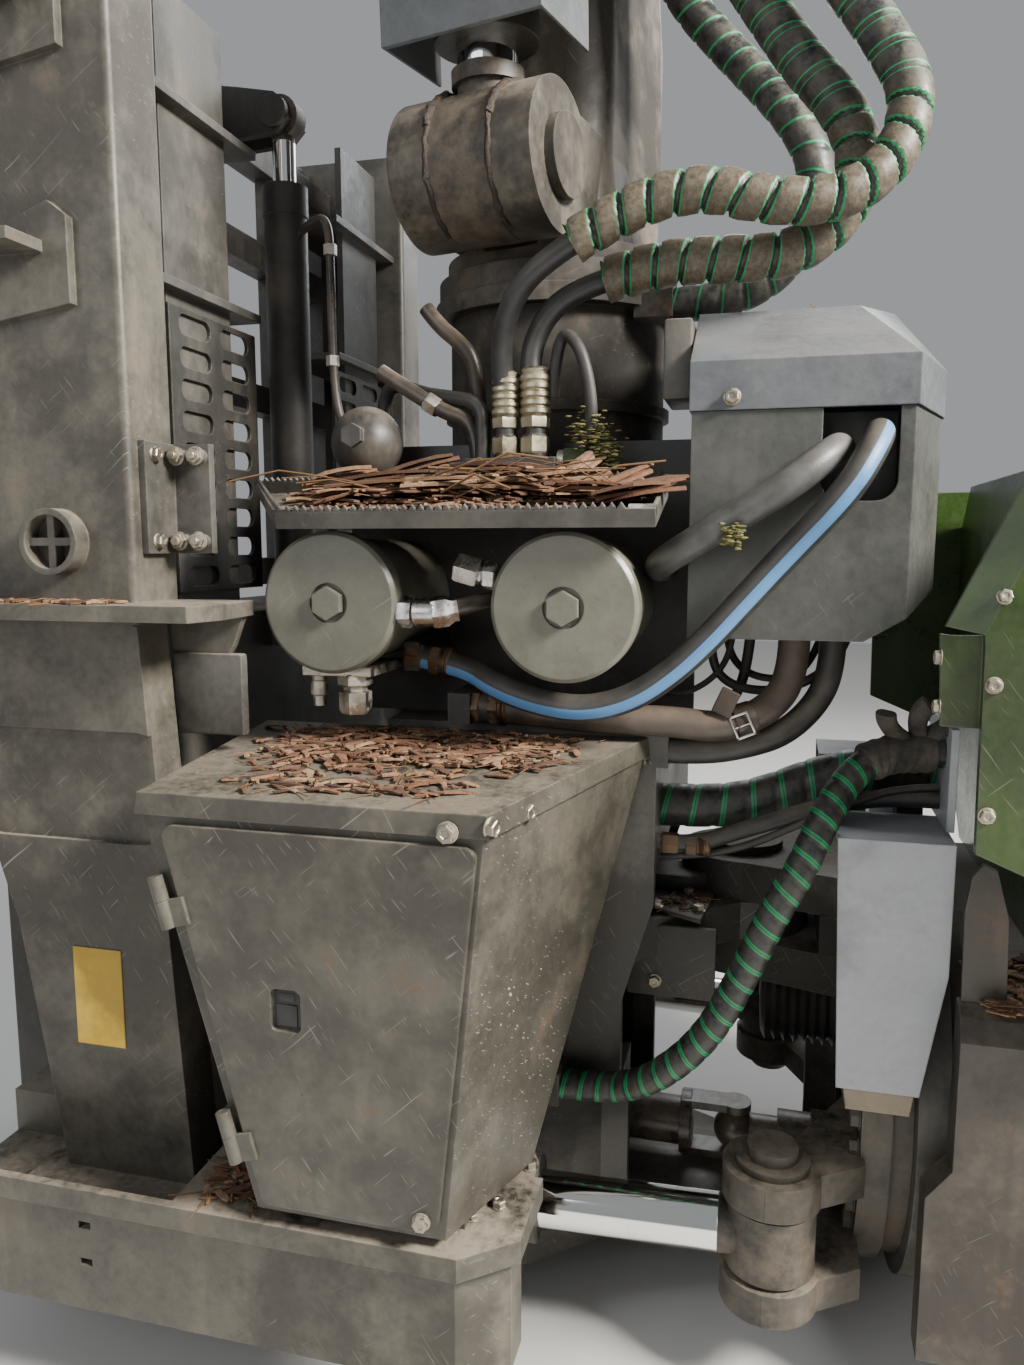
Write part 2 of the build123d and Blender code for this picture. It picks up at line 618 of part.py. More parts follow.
def head_side():
    """Right side plate: tall above, drawn in below to clear the steering ears."""
    outline = ((HEAD_BACK, FRAME_TOP), (HEAD_BACK, HEAD_TOP), (HEAD_FRONT_TOP, HEAD_TOP),
               (HEAD_FRONT_TOP, HEAD_TOP / 2), (HEAD_FRONT_MID, HEAD_MID_Z),
               (HEAD_FRONT_MID, HEAD_TAPER_TOP), (HEAD_TAPER_X[0], HEAD_TAPER_TOP),
               (HEAD_TAPER_X[0], LOWER_EAR[0]), (BEAM_LENGTH, LOWER_EAR[0]),
               (BEAM_LENGTH, FRAME_TOP))
    side = plate_xz(outline, (-FRAME_HALF, -FRAME_INNER))
    outer = ((HEAD_TAPER_X[0], -FRAME_HALF), (HEAD_TAPER_X[1], HEAD_TAPER_Y[0]),
             (HEAD_FRONT_MID, HEAD_TAPER_Y[1]))
    inner = [(x, y + FRAME_WALL) for x, y in reversed(outer)]
    side += plate_xy((*outer, *inner), (LOWER_EAR[0], HEAD_TAPER_TOP))
    side += plate_xy(((HEAD_TAPER_X[0], -FRAME_HALF), (HEAD_FRONT_MID, -FRAME_HALF),
                      (HEAD_FRONT_MID, HEAD_TAPER_Y[1] + FRAME_WALL),
                      (HEAD_TAPER_X[1], HEAD_TAPER_Y[0] + FRAME_WALL)),
                     (HEAD_TAPER_TOP, HEAD_TAPER_TOP + FRAME_WALL / 2))
    return side


def head_ports():
    """Blocks on the right side that two hoses leave from."""
    half, side = BLACK_BLOCK
    x, y, z = BLACK_START
    ports = block((HEAD_FRONT_TOP, x), (y - side, y + side), (z - half, z + half))
    half, side, length = NEAR_BLOCK
    x, y, z = NEAR_START
    return ports + block((x - length, x), (y - side, -FRAME_HALF), (z - half, z + half))


def frame_head():
    """Tall side plates, top plate, bulkhead and the ears of the steering hinge."""
    across = (-FRAME_INNER, FRAME_INNER)
    roof = HEAD_TOP - FRAME_WALL
    head = both(head_side()) + head_ports()
    head += block((HEAD_BACK, HEAD_FRONT_TOP), across, (roof, HEAD_TOP))
    head += block((BEAM_LENGTH, BEAM_LENGTH + FRAME_WALL), across, (FRAME_TOP - FRAME_WALL, roof))
    head += block((HEAD_FRONT_TOP - FRAME_WALL, HEAD_FRONT_TOP), across, (HOSE_PLATE_LOW, roof))
    head += block((SHAFT_BEARING_X - FRAME_WALL, SHAFT_BEARING_X), across,
                  (LOWER_EAR[1], SHAFT_PLATE_TOP))
    for z in (UPPER_EAR, LOWER_EAR):
        root = FRAME_INNER
        if z == LOWER_EAR:
            root = -HEAD_TAPER_Y[1]
        ear = plate_xy(((BEAM_LENGTH, -FRAME_INNER), (HEAD_TAPER_X[0], -FRAME_INNER),
                        (EAR_ROOT_X, -root), (STEER_X, -EAR_RADIUS), (STEER_X, EAR_RADIUS),
                        (EAR_ROOT_X, root), (HEAD_TAPER_X[0], FRAME_INNER),
                        (BEAM_LENGTH, FRAME_INNER)), z)
        ear += post(STEER_X, 0, z, EAR_RADIUS)
        ear -= post(STEER_X, 0, z, HINGE_PIN_RADIUS + PIN_CLEARANCE)
        head += ear
    save(head, "frame_head")


def carrier_top():
    """Stepped top plate of the right carrier."""
    nose = CARRIER_FRONT - CARRIER_NOSE
    top = plate_xy(((CARRIER_BACK, -FRAME_HALF), (CARRIER_BACK, -CARRIER_STEP_Y),
                    (CARRIER_STEP_X, -CARRIER_STEP_Y), (CARRIER_STEP_X, -CARRIER_OUT),
                    (nose, -CARRIER_OUT), (CARRIER_FRONT, -CARRIER_IN), *CARRIER_CORNER),
                   (CARRIER_TOP - CARRIER_PLATE, CARRIER_TOP))
    tread = (CARRIER_LOW_TOP - CARRIER_PLATE, CARRIER_LOW_TOP)
    riser = (tread[0], CARRIER_TOP)
    step = CARRIER_PLATE / 2
    top += block((CARRIER_BACK, CARRIER_STEP_X), (-CARRIER_OUT, -CARRIER_STEP_Y), tread)
    top += block((CARRIER_BACK, CARRIER_STEP_X), (-CARRIER_STEP_Y - step, -CARRIER_STEP_Y), riser)
    top += block((CARRIER_STEP_X, CARRIER_STEP_X + step), (-CARRIER_OUT, -CARRIER_STEP_Y), riser)
    return top


def carrier_walls():
    """Rim, outer wall turned in at the front, bottom flange and rear wall."""
    nose = CARRIER_FRONT - CARRIER_NOSE
    inner_out = CARRIER_OUT - CARRIER_PLATE
    inner_in = CARRIER_IN - CARRIER_PLATE / 2
    inner_front = CARRIER_FRONT - CARRIER_PLATE
    rim_front = CARRIER_FRONT + RIM_DEPTH
    walls = plate_xy(((CARRIER_BACK, -CARRIER_OUT), (CARRIER_BACK, -CARRIER_OUT - RIM_DEPTH),
                      (nose + RIM_DEPTH / 2, -CARRIER_OUT - RIM_DEPTH),
                      (rim_front, -CARRIER_IN - RIM_DEPTH / 2), (rim_front, RIM_END),
                      (CARRIER_FRONT, RIM_END), (CARRIER_FRONT, -CARRIER_IN),
                      (nose, -CARRIER_OUT)),
                     (CARRIER_TOP - RIM_HEIGHT, CARRIER_TOP))
    walls += plate_xy(((CARRIER_BACK, -CARRIER_OUT), (nose, -CARRIER_OUT),
                       (CARRIER_FRONT, -CARRIER_IN), (CARRIER_FRONT, CARRIER_RETURN),
                       (inner_front, CARRIER_RETURN), (inner_front, -inner_in),
                       (nose - CARRIER_PLATE / 2, -inner_out), (CARRIER_BACK, -inner_out)),
                      (CARRIER_BOTTOM, CARRIER_TOP - CARRIER_PLATE))
    walls += plate_xy(((CARRIER_BACK, -inner_out), (nose, -inner_out), (inner_front, -inner_in),
                       (inner_front, CARRIER_FLANGE), (CARRIER_BACK, CARRIER_FLANGE)),
                      (CARRIER_BOTTOM, CARRIER_BOTTOM + CARRIER_PLATE))
    walls += block((CARRIER_BACK, CARRIER_BACK + CARRIER_PLATE), (-inner_out, -FRAME_HALF),
                   (CARRIER_BOTTOM, CARRIER_LOW_TOP - CARRIER_PLATE))
    return walls


def carrier():
    """Low beam outboard of the frame, with two slots in its outer wall."""
    beam = carrier_top() + carrier_walls()
    half_x, half_z = CARRIER_SLOT_HALF
    for z in CARRIER_SLOT_Z:
        beam -= block((CARRIER_SLOT_X - half_x, CARRIER_SLOT_X + half_x),
                      (-CARRIER_OUT - CUT, CARRIER_PLATE + CUT - CARRIER_OUT),
                      (z - half_z, z + half_z))
    save(beam, "carrier_right")
    save(left(beam), "carrier_left")


def post_gussets():
    """Plates with a small shelf on the post's outer face."""
    reach, width, thickness = GUSSET_SHELF
    face = -POST_OUT - GUSSET_SHEET
    gussets = Part()
    for z in GUSSET_AT:
        gussets += plate_xz([(x, z + rise) for x, rise in GUSSET], (face, -POST_OUT))
        gussets += block((POST_BACK, reach), (face - width, face), (z, z + thickness))
    return gussets


def post_socket():
    """Round rim with a cross inside, on the post's outer face."""
    x, z = SOCKET_AT
    outer, inner = SOCKET_RADII
    depth, half = SOCKET_CROSS
    rim = pipe((x, -POST_OUT - SOCKET_RIM, z), (x, -POST_OUT, z), outer, inner)
    cross = block((x - inner, x + inner), (-POST_OUT - depth, -POST_OUT), (z - half, z + half))
    cross += block((x - half, x + half), (-POST_OUT - depth, -POST_OUT), (z - inner, z + inner))
    return rim + cross


def gate_post():
    """Post with its raked leg, ledge, gusset shelves and a foot flange on the carrier."""
    tall = block((POST_BACK, POST_FRONT), (-POST_OUT, -POST_IN), (POST_KNEE, POST_TOP))
    tall = round_z(tall, POST_CORNER)
    leg = plate_xz(((POST_BACK, POST_KNEE), (POST_FRONT, POST_KNEE), (POST_FOOT_X[1], POST_FOOT),
                    (POST_FOOT_X[0], POST_FOOT), *LEG_BACK), (-POST_OUT, -LEG_IN))
    recess = SlotCenterToCenter(RECESS_SPAN, RECESS_WIDTH, rotation=90)
    wall = Plane(origin=(RECESS_AT[0], -POST_OUT, RECESS_AT[1]), z_dir=(0, -1, 0))
    leg -= extrude(wall * recess, -RECESS_DEPTH)
    foot = block((POST_FOOT_X[0] - POST_FOOT_BACK, POST_FOOT_X[1] + POST_FOOT_FRONT),
                 (-POST_OUT - POST_FOOT_OUT, -LEG_IN), (CARRIER_LOW_TOP, POST_FOOT))
    ledge = plate_xy(((POST_BACK, -POST_IN), (POST_BACK, -POST_OUT - LEDGE_OUT),
                      (LEDGE_FRONT[0], -POST_OUT - LEDGE_OUT), (LEDGE_FRONT[1], -POST_OUT),
                      (LEDGE_FRONT[0], -POST_IN)), LEDGE_Z)
    web = plate_xz(POST_WEB, POST_WEB_Y)
    whole = tall + leg + round_z(foot, POST_FOOT_FRONT) + ledge + web
    whole += post_gussets() + post_socket()
    save(whole, "gate_post_right")
    save(left(whole), "gate_post_left")


def gate_frame():
    """Sill on the frame, shelves from each post, upright strips and the top rail."""
    sill = block(SILL_X, (-LEG_IN, LEG_IN), (FRAME_TOP, SILL_TOP))
    side, front = GATE_FOOT_HALF
    sill += block((SILL_X[1], GATE_CYL[0] + front), (GATE_CYL[1] - side, GATE_CYL[1] + side),
                  (SILL_TOP - GATE_CYL_FLOOR, SILL_TOP))
    half = block(STRIP_X, STRIP_Y, (SILL_TOP, POST_TOP - STRIP_DROP))
    for low in SHELF_HEIGHTS:
        half += block(SHELF_X, (-POST_IN, -SHELF_IN), (low, low + SHELF_THICKNESS))
    rail = block(TOP_RAIL_X, (-POST_IN, POST_IN), TOP_RAIL_Z)
    save(sill + both(half) + rail, "gate_frame")


def gate_screen():
    """Slotted sheets between the posts and the gate cylinder, two columns of slots each."""
    sheet = block(SCREEN_X, SCREEN_Y, SCREEN_Z)
    width = SCREEN_Y[1] - SCREEN_Y[0]
    pitch = (SCREEN_Z[1] - SCREEN_Z[0]) / SLOT_ROWS
    slots = Part()
    for column in SLOT_COLUMNS:
        for row in range(SLOT_ROWS):
            middle = (SCREEN_X[0], SCREEN_Y[0] + column * width, SCREEN_Z[0] + (row + 0.5) * pitch)
            wall = Plane(origin=middle, x_dir=(0, 1, 0), z_dir=(1, 0, 0))
            slots += extrude(wall * SlotOverall(SLOT_LENGTH, SLOT_HEIGHT), SCREEN_X[1] - SCREEN_X[0])
    save(both(sheet - slots), "gate_screens")


def wear_pads():
    """Wear pad brackets on the posts' front faces, four bolts each."""
    low, high = PAD_BRACKET_Z
    lip = PAD_BRACKET_LIP
    sheet = POST_FRONT + PAD_BRACKET_SHEET
    bracket = block((POST_FRONT, sheet), (PAD_BRACKET_OUT - POST_OUT, lip[1]), PAD_BRACKET_Z)
    bracket += block((sheet, POST_FRONT + PAD_BRACKET_REACH), lip, PAD_BRACKET_Z)
    for reach in PAD_BOLT_X:
        for z in (low + PAD_BOLT_EDGE, high - PAD_BOLT_EDGE):
            x = POST_FRONT + reach
            bracket += bar((x, lip[0] - PAD_BOLT_HEAD, z), (x, lip[0], z), PAD_BOLT_RADIUS)
    save(both(bracket), "wear_pads")


def gate_cylinder():
    """Lift cylinder of the gate: barrel on the sill and rod to the sliding gate."""
    x, y = GATE_CYL
    top = GATE_BARREL_TOP
    barrel = post(x, y, (SILL_TOP, top), GATE_CYL_RADIUS)
    barrel -= post(x, y, (SILL_TOP + GATE_CYL_FLOOR, top), GATE_CYL_BORE)
    gland = [top + height for height in GATE_GLAND_Z]
    barrel += pipe((x, y, gland[0]), (x, y, gland[1]), GATE_GLAND_RADIUS,
                   GATE_ROD_RADIUS + PIN_CLEARANCE)
    save(barrel, "gate_barrel")
    radius, half, bore = GATE_ROD_EYE
    z = GATE_ROD_EYE_Z
    rod = post(x, y, (GATE_ROD_FOOT, z - radius / 2), GATE_ROD_RADIUS)
    rod += bar((x, y - half, z), (x, y + half, z), radius)
    rod -= bar((x, y - radius, z), (x, y + radius, z), bore)
    save(rod, "gate_rod")


def gate_slide():
    """Sliding inner gate: bars, uprights and the clevis for the rod's eye."""
    gate = Part()
    for z in SLIDE_BARS:
        gate += block(SLIDE_X, (-SLIDE_REACH, SLIDE_REACH), (z, z + SLIDE_BAR))
    for y in SLIDE_UPRIGHTS:
        gate += block(SLIDE_X, (y, y + SLIDE_BAR), SLIDE_Z)
    x, y = GATE_CYL
    z = GATE_ROD_EYE_Z
    root = [(SLIDE_X[1], z + rise) for rise in GATE_CHEEK_ROOT]
    outline = (*root, *((x + reach, z + rise) for reach, rise in GATE_CHEEK))
    near, far = GATE_CHEEK_Y
    gate += plate_xz(outline, (y - far, y - near)) + plate_xz(outline, (y + near, y + far))
    radius, half = GATE_PIN
    head, thickness = GATE_PIN_HEAD
    gate += bar((x, y - half, z), (x, y + half, z), radius)
    gate += bar((x, y - half, z), (x, y - half + thickness, z), head)
    save(gate, "gate_slide")


def crane_foot():
    """Round column on the head's top plate, flanged for the slew ring, with a port block."""
    height, margin = CRANE_SKIRT
    column = post(*SLEW, (HEAD_TOP, CRANE_TOP), CRANE_RADIUS)
    column += post(*SLEW, (HEAD_TOP, HEAD_TOP + height), CRANE_RADIUS + margin)
    column += post(*SLEW, (CRANE_TOP - CRANE_FLANGE_HEIGHT, CRANE_TOP), CRANE_FLANGE_RADIUS)
    column += post(*SLEW, CRANE_BAND[:2], CRANE_RADIUS + CRANE_BAND[2])
    port_x = [SLEW[0] + reach for reach in CRANE_PORT_X]
    column += block(port_x, CRANE_PORT_Y, CRANE_PORT_Z) - post(*SLEW, CRANE_PORT_Z, CRANE_RADIUS)
    save(column, "crane_foot")


def king_frame(along_pin, outward, z):
    """Point in the king post's own directions at rest, given in the machine's frame."""
    angle = math.radians(REST_ANGLE)
    out = (math.cos(angle), math.sin(angle))
    pin = (-out[1], out[0])
    return (SLEW[0] + along_pin * pin[0] + outward * out[0],
            SLEW[1] + along_pin * pin[1] + outward * out[1], z)


def king_bar(along, outward, z, radius):
    """Round bar along the pins between two places."""
    return bar(king_frame(along[0], outward, z), king_frame(along[1], outward, z), radius)


def king_plane(z):
    """Plane with X along the pins, Y away from the lift cylinder, at a height."""
    along = Vector(*king_frame(1, 0, z)) - Vector(*king_frame(0, 0, z))
    return Plane(origin=king_frame(0, 0, z), x_dir=along, z_dir=(0, 0, 1))


def hose_bracket():
    """Shelf on the king post's side that the crane's hoses end under, with its gusset."""
    shelf = Solid.extrude(polygon([king_frame(a, o, BRACKET_Z) for a, o in BRACKET_OUTLINE]),
                          Vector(0, 0, BRACKET_SHEET))
    near, outward = BRACKET_OUTLINE[0]
    far = BRACKET_OUTLINE[1][0]
    tip, root = BRACKET_GUSSET
    corners = ((near, BRACKET_Z), (far, BRACKET_Z), (far, BRACKET_Z - tip), (near, BRACKET_Z - root))
    face = polygon([king_frame(a, outward, z) for a, z in corners])
    way = Vector(*king_frame(0, BRACKET_SHEET, 0)) - Vector(*king_frame(0, 0, 0))
    return shelf + Solid.extrude(face, way)


def king_shaft():
    sections = []
    for z, shift, width, depth, corner in KING_SECTIONS:
        sections.append(king_plane(z) * Pos(0, shift) * RectangleRounded(width, depth, corner))
    return loft(sections, ruled=True)


def lift_ears():
    """Two ears for the lift cylinder's lower pin, each with an arm into the shaft."""
    ears = Part()
    for side in (-1, 1):
        near, far = side * LIFT_EAR[0], side * LIFT_EAR[1]
        start, end = (king_frame(along, LIFT_PIN_OUT, LIFT_PIN_Z) for along in (near, far))
        plane = Plane(origin=start, x_dir=(0, 0, 1), z_dir=Vector(*end) - Vector(*start))
        height, reach = LIFT_ARM
        arm = Pos(0, -side * reach / 2) * Box(height, reach, abs(far - near), align=BASE)
        ears += bar(start, end, LIFT_EYE_RADIUS) + plane * arm
    return ears


def king_post():
    """Slewing post: round foot flange, lofted shaft with the boom's bore, welded lift ears."""
    radius, height = KING_FOOT
    foot = post(*SLEW, (KING_FOOT_Z, KING_FOOT_Z + height), radius)
    shaft = king_shaft()
    save(hose_bracket() - shaft, "hose_bracket")
    pin_end = LIFT_EAR[1] + CUT
    inner = LIFT_EAR[0]
    ears = lift_ears() - shaft - foot
    ears -= king_bar((-pin_end, pin_end), LIFT_PIN_OUT, LIFT_PIN_Z, LIFT_PIN_RADIUS)
    boss, half = BOOM_BOSS
    shaft += king_bar((-half, half), BOOM_PIN_OUT, BOOM_PIN_Z, boss)
    shaft -= king_bar((-half, half), BOOM_PIN_OUT, BOOM_PIN_Z, BOOM_PIN_BORE)
    eye_room = king_bar((-inner, inner), LIFT_PIN_OUT, LIFT_PIN_Z, LIFT_EYE_RADIUS + LIFT_EYE_CLEAR)
    shaft = shaft - foot - eye_room
    foot -= eye_room
    save(Compound([*shaft.solids(), *foot.solids(), *ears.solids()]), "king_post_casting")
    save(post(*SLEW, (CRANE_TOP + FACE_GAP, KING_FOOT_Z), SLEW_RING_RADIUS), "slew_ring")
    head, thickness = LIFT_PIN_HEAD
    face = LIFT_EAR[1]
    pin = king_bar((-face, face), LIFT_PIN_OUT, LIFT_PIN_Z, LIFT_PIN_RADIUS)
    pin += king_bar((face, face + thickness), LIFT_PIN_OUT, LIFT_PIN_Z, head)
    pin += king_bar((-face - thickness, -face), LIFT_PIN_OUT, LIFT_PIN_Z, head)
    save(pin, "lift_pin")


def lift_point(along):
    """Point on the lift cylinder's centre line, measured from its lower pin."""
    lean = math.radians(LIFT_LEAN)
    return king_frame(0, LIFT_PIN_OUT + along * math.sin(lean), LIFT_PIN_Z + along * math.cos(lean))


def lift_rod():
    """Rod with the lower eye and a wiper collar."""
    rod = king_bar((-LIFT_EYE_HALF, LIFT_EYE_HALF), LIFT_PIN_OUT, LIFT_PIN_Z, LIFT_EYE_RADIUS)
    rod += bar(lift_point(LIFT_NECK_FROM), lift_point(LIFT_ROD_END), LIFT_ROD_RADIUS)
    low, high, margin = LIFT_COLLAR
    rod += bar(lift_point(low), lift_point(high), LIFT_ROD_RADIUS + margin)
    rod -= king_bar((-LIFT_EYE_HALF, LIFT_EYE_HALF), LIFT_PIN_OUT, LIFT_PIN_Z,
                    LIFT_PIN_RADIUS + PIN_CLEARANCE)
    save(rod, "lift_rod")


def lift_barrel():
    """Barrel with its gland, closed top and upper eye."""
    low, high = LIFT_BARREL
    roof = high - LIFT_BARREL_CAP
    barrel = pipe(lift_point(low), lift_point(roof), LIFT_BARREL_RADIUS, LIFT_BORE_RADIUS)
    barrel += bar(lift_point(roof), lift_point(high), LIFT_BARREL_RADIUS)
    start, end, margin = LIFT_GLAND
    barrel += pipe(lift_point(low + start), lift_point(low + end), LIFT_BARREL_RADIUS + margin,
                   LIFT_ROD_RADIUS + PIN_CLEARANCE)
    radius, half = LIFT_TOP_EYE
    top = Vector(*lift_point(LIFT_TOP_AT))
    along = Vector(*king_frame(1, 0, 0)) - Vector(*king_frame(0, 0, 0))
    ends = (tuple(top - along * half), tuple(top + along * half))
    barrel += bar(*ends, radius)
    barrel -= bar(*ends, LIFT_TOP_BORE)
    save(barrel, "lift_barrel")


def lift_guard():
    """Channel of sheet around the barrel's outer side, held by a stay."""
    along = Vector(*king_frame(1, 0, 0)) - Vector(*king_frame(0, 0, 0))
    axis = Vector(*lift_point(1)) - Vector(*lift_point(0))
    plane = Plane(origin=lift_point(LIFT_BARREL[0] - GUARD_FOOT), x_dir=along, z_dir=axis)
    inner_width = GUARD_WIDTH - 2 * GUARD_SHEET
    guard = Pos(0, -GUARD_SHEET) * Box(GUARD_WIDTH, GUARD_DEPTH, GUARD_LENGTH, align=BASE)
    guard -= Pos(0, GUARD_SHEET) * Box(inner_width, GUARD_DEPTH, GUARD_LENGTH, align=BASE)
    guard += Pos(0, *GUARD_STAY_AT) * Box(*GUARD_STAY, align=BASE)
    guard = plane * guard
    guard -= bar(lift_point(LIFT_BARREL[0]), lift_point(LIFT_BARREL[1]), LIFT_BARREL_RADIUS)
    save(guard, "lift_guard")


def valve_outline(grow):
    return ((VALVE_BACK - grow, VALVE_IN + grow), (VALVE_BACK - grow, VALVE_OUT - grow),
            (VALVE_FRONT + grow, VALVE_OUT - grow), (VALVE_NOSE[0] + grow, VALVE_NOSE[1]),
            (VALVE_NOSE[0] + grow, VALVE_IN + grow))


def valve_box():
    """Sheet box with a cut-out for hoses and a chamfered open corner, on an arm."""
    box = plate_xy(valve_outline(0), (VALVE_BOTTOM, VALVE_SEAM))
    box -= plate_xy(valve_outline(-VALVE_WALL), (VALVE_BOTTOM + VALVE_WALL, VALVE_SEAM))
    notch = block(VALVE_NOTCH_X, (VALVE_OUT - CUT, VALVE_OUT + VALVE_WALL + CUT),
                  (VALVE_NOTCH_LOW, VALVE_SEAM))
    notch = fillet(notch.edges().filter_by(Axis.Y).sort_by(Axis.Z)[:2], VALVE_NOTCH_CORNER)
    box -= notch + plate_xz(VALVE_CORNER, (VALVE_OUT - CUT, VALVE_IN + CUT))
    panel_z = (VALVE_PANEL_LOW, VALVE_SEAM)
    box += block(VALVE_PANEL_X, VALVE_PANEL_Y, panel_z)
    box += block((VALVE_PANEL_X[0], VALVE_PANEL_X[0] + VALVE_WALL),
                 (VALVE_OUT + VALVE_WALL, VALVE_PANEL_Y[0]), panel_z)
    arm = block((VALVE_ARM_X, VALVE_BACK), VALVE_ARM_Y, VALVE_ARM_Z)
    save(box + arm - post(*SLEW, VALVE_ARM_Z, CRANE_RADIUS), "valve_cabinet")


def valve_lid():
    """Lid with bevelled sides, hollow below its roof."""
    eaves = [(x, y, VALVE_BEVEL) for x, y in valve_outline(VALVE_LID_GROW)]
    roof = [(x, y, VALVE_TOP) for x, y in VALVE_LID_TOP]
    lid = loft([polygon(eaves), polygon(roof)], ruled=True)
    lid += plate_xy(valve_outline(VALVE_LID_GROW), (VALVE_SEAM + FACE_GAP, VALVE_BEVEL))
    lid -= plate_xy(valve_outline(-VALVE_WALL), (VALVE_SEAM, VALVE_BEVEL - VALVE_LID_ROOF))
    save(lid, "valve_lid")


def filters():
    """Two canister filters lying across the machine, with caps and hexagon plugs."""
    front = FILTER_FRONT_Y
    dimple, depth = FILTER_DIMPLE
    hexagon, seat, height = FILTER_PLUG
    for name, (x, z) in FILTERS.items():
        body = bar((x, front + FILTER_CAP, z), (x, STAND_FACE, z), FILTER_RADIUS)
        cap = bar((x, front, z), (x, front + FILTER_CAP, z), FILTER_CAP_RADIUS)
        cap = chamfer(cap.edges().group_by(Axis.Y)[0], FILTER_CHAMFER)
        cap -= bar((x, front, z), (x, front + depth, z), dimple)
        wall = Plane(origin=(x, front + seat, z), z_dir=(0, -1, 0))
        save(body + cap + extrude(wall * RegularPolygon(hexagon, 6), height), name)


def port_block(start, size):
    """Block on the stand's face whose front side a hose leaves from."""
    half, side, length = size
    x, y, z = start
    return block((x - length, x), (y - side, STAND_FACE), (z - half, z + half))


def filter_stand():
    """Plate behind the filters with the ports and fittings that the hoses leave from."""
    stand = block((STAND_BACK, VALVE_BACK), (STAND_FACE, STAND_FACE + STAND_PLATE),
                  (HEAD_TOP, STAND_TOP))
    height, margin = CRANE_SKIRT
    stand -= post(*SLEW, (HEAD_TOP, HEAD_TOP + height + CUT), CRANE_RADIUS + margin + STAND_CLEAR)
    stand += block(*MANIFOLD) + block(*MANIFOLD_FOOT)
    for x, y, z in (BASE_LEFT_START, BASE_RIGHT_START):
        stand += post(x, y, (MANIFOLD[2][1], z), FITTING_RADIUS)
    stand += port_block(BROWN_START, BROWN_BLOCK)
    half, side, length = BLUE_BLOCK
    x, y, z = BLUE_NIPPLE
    stand += block((x - length / 2, x + length / 2), (y - side, STAND_FACE), (z - half, z + half))
    stand += bar(BLUE_NIPPLE, BLUE_START, FITTING_RADIUS)
    save(stand, "filter_stand")


def tray():
    """Sheet tray over the filters, sloping up to the back, with an upturned rim."""
    near, far = TRAY_Y
    outline = ((TRAY_X[0], near), (TRAY_X[1], near), (TRAY_X[1], far), (TRAY_BACK_X, far))
    rim = plate_xy(outline, (0, TRAY_RIM))
    rim -= plate_xy(((TRAY_X[0] + TRAY_SIDE[0], near + TRAY_SHEET),
                     (TRAY_X[1] - TRAY_SHEET, near + TRAY_SHEET),
                     (TRAY_X[1] - TRAY_SHEET, far - TRAY_SHEET),
                     (TRAY_BACK_X + TRAY_SIDE[1], far - TRAY_SHEET)), (TRAY_SHEET, TRAY_RIM))
    angle = math.degrees(math.atan2(TRAY_RISE, far - near))
    pan = Pos(0, near, TRAY_Z) * Rot(angle, 0, 0) * Pos(0, -near, 0) * rim
    stay_x, rises = TRAY_STAY
    pan += block(stay_x, (far - TRAY_RIM, STAND_FACE),
                 [TRAY_Z + TRAY_RISE + rise for rise in rises])
    save(pan, "filter_tray")


def accumulator():
    """Pressure sphere with its hexagon cap, on a stem."""
    x, y, z = ACCUMULATOR
    hexagon, reach, rise, height = ACCUMULATOR_CAP
    radius, drop = ACCUMULATOR_STEM
    ball = Pos(x, y, z) * Sphere(ACCUMULATOR_RADIUS)
    wall = Plane(origin=(x, y - reach, z + rise), z_dir=(0, -1, 0))
    ball += extrude(wall * RegularPolygon(hexagon, 6), height)
    ball += post(x, y, (TRAY_Z + TRAY_RISE + TRAY_STAY[1][1], z - drop), radius)
    save(ball, "accumulator")


def steel_pipes():
    """Bent hydraulic pipe from the stand's top edge to the manifold."""
    (x, turn_z), *rest = PIPE_ROUTE
    middle = STAND_FACE + STAND_PLATE / 2
    route = FilletPolyline((x, middle, STAND_TOP), (x, middle, turn_z), *rest, radius=PIPE_BENDS)
    save(sweep(Plane(origin=route @ 0, z_dir=route % 0) * Circle(PIPE_RADIUS), path=route),
         "steel_pipes")


def cabinet_ring(corners, inset, z_shift):
    """Four-sided outline moved in by an inset and up by a shift."""
    middle_x = sum(x for x, y, z in corners) / len(corners)
    middle_y = sum(y for x, y, z in corners) / len(corners)
    moved = []
    for x, y, z in corners:
        along = inset if x < middle_x else -inset
        across = inset if y < middle_y else -inset
        moved.append((x + along, y + across, z + z_shift))
    return polygon(moved)


def hinge_frames():
    """Points on the door's hinge line, and the line's direction."""
    top, end = (Vector(*point) for point in HINGE_LINE)
    return [top + (end - top) * share for share in HINGE_PLACES], (end - top).normalized()


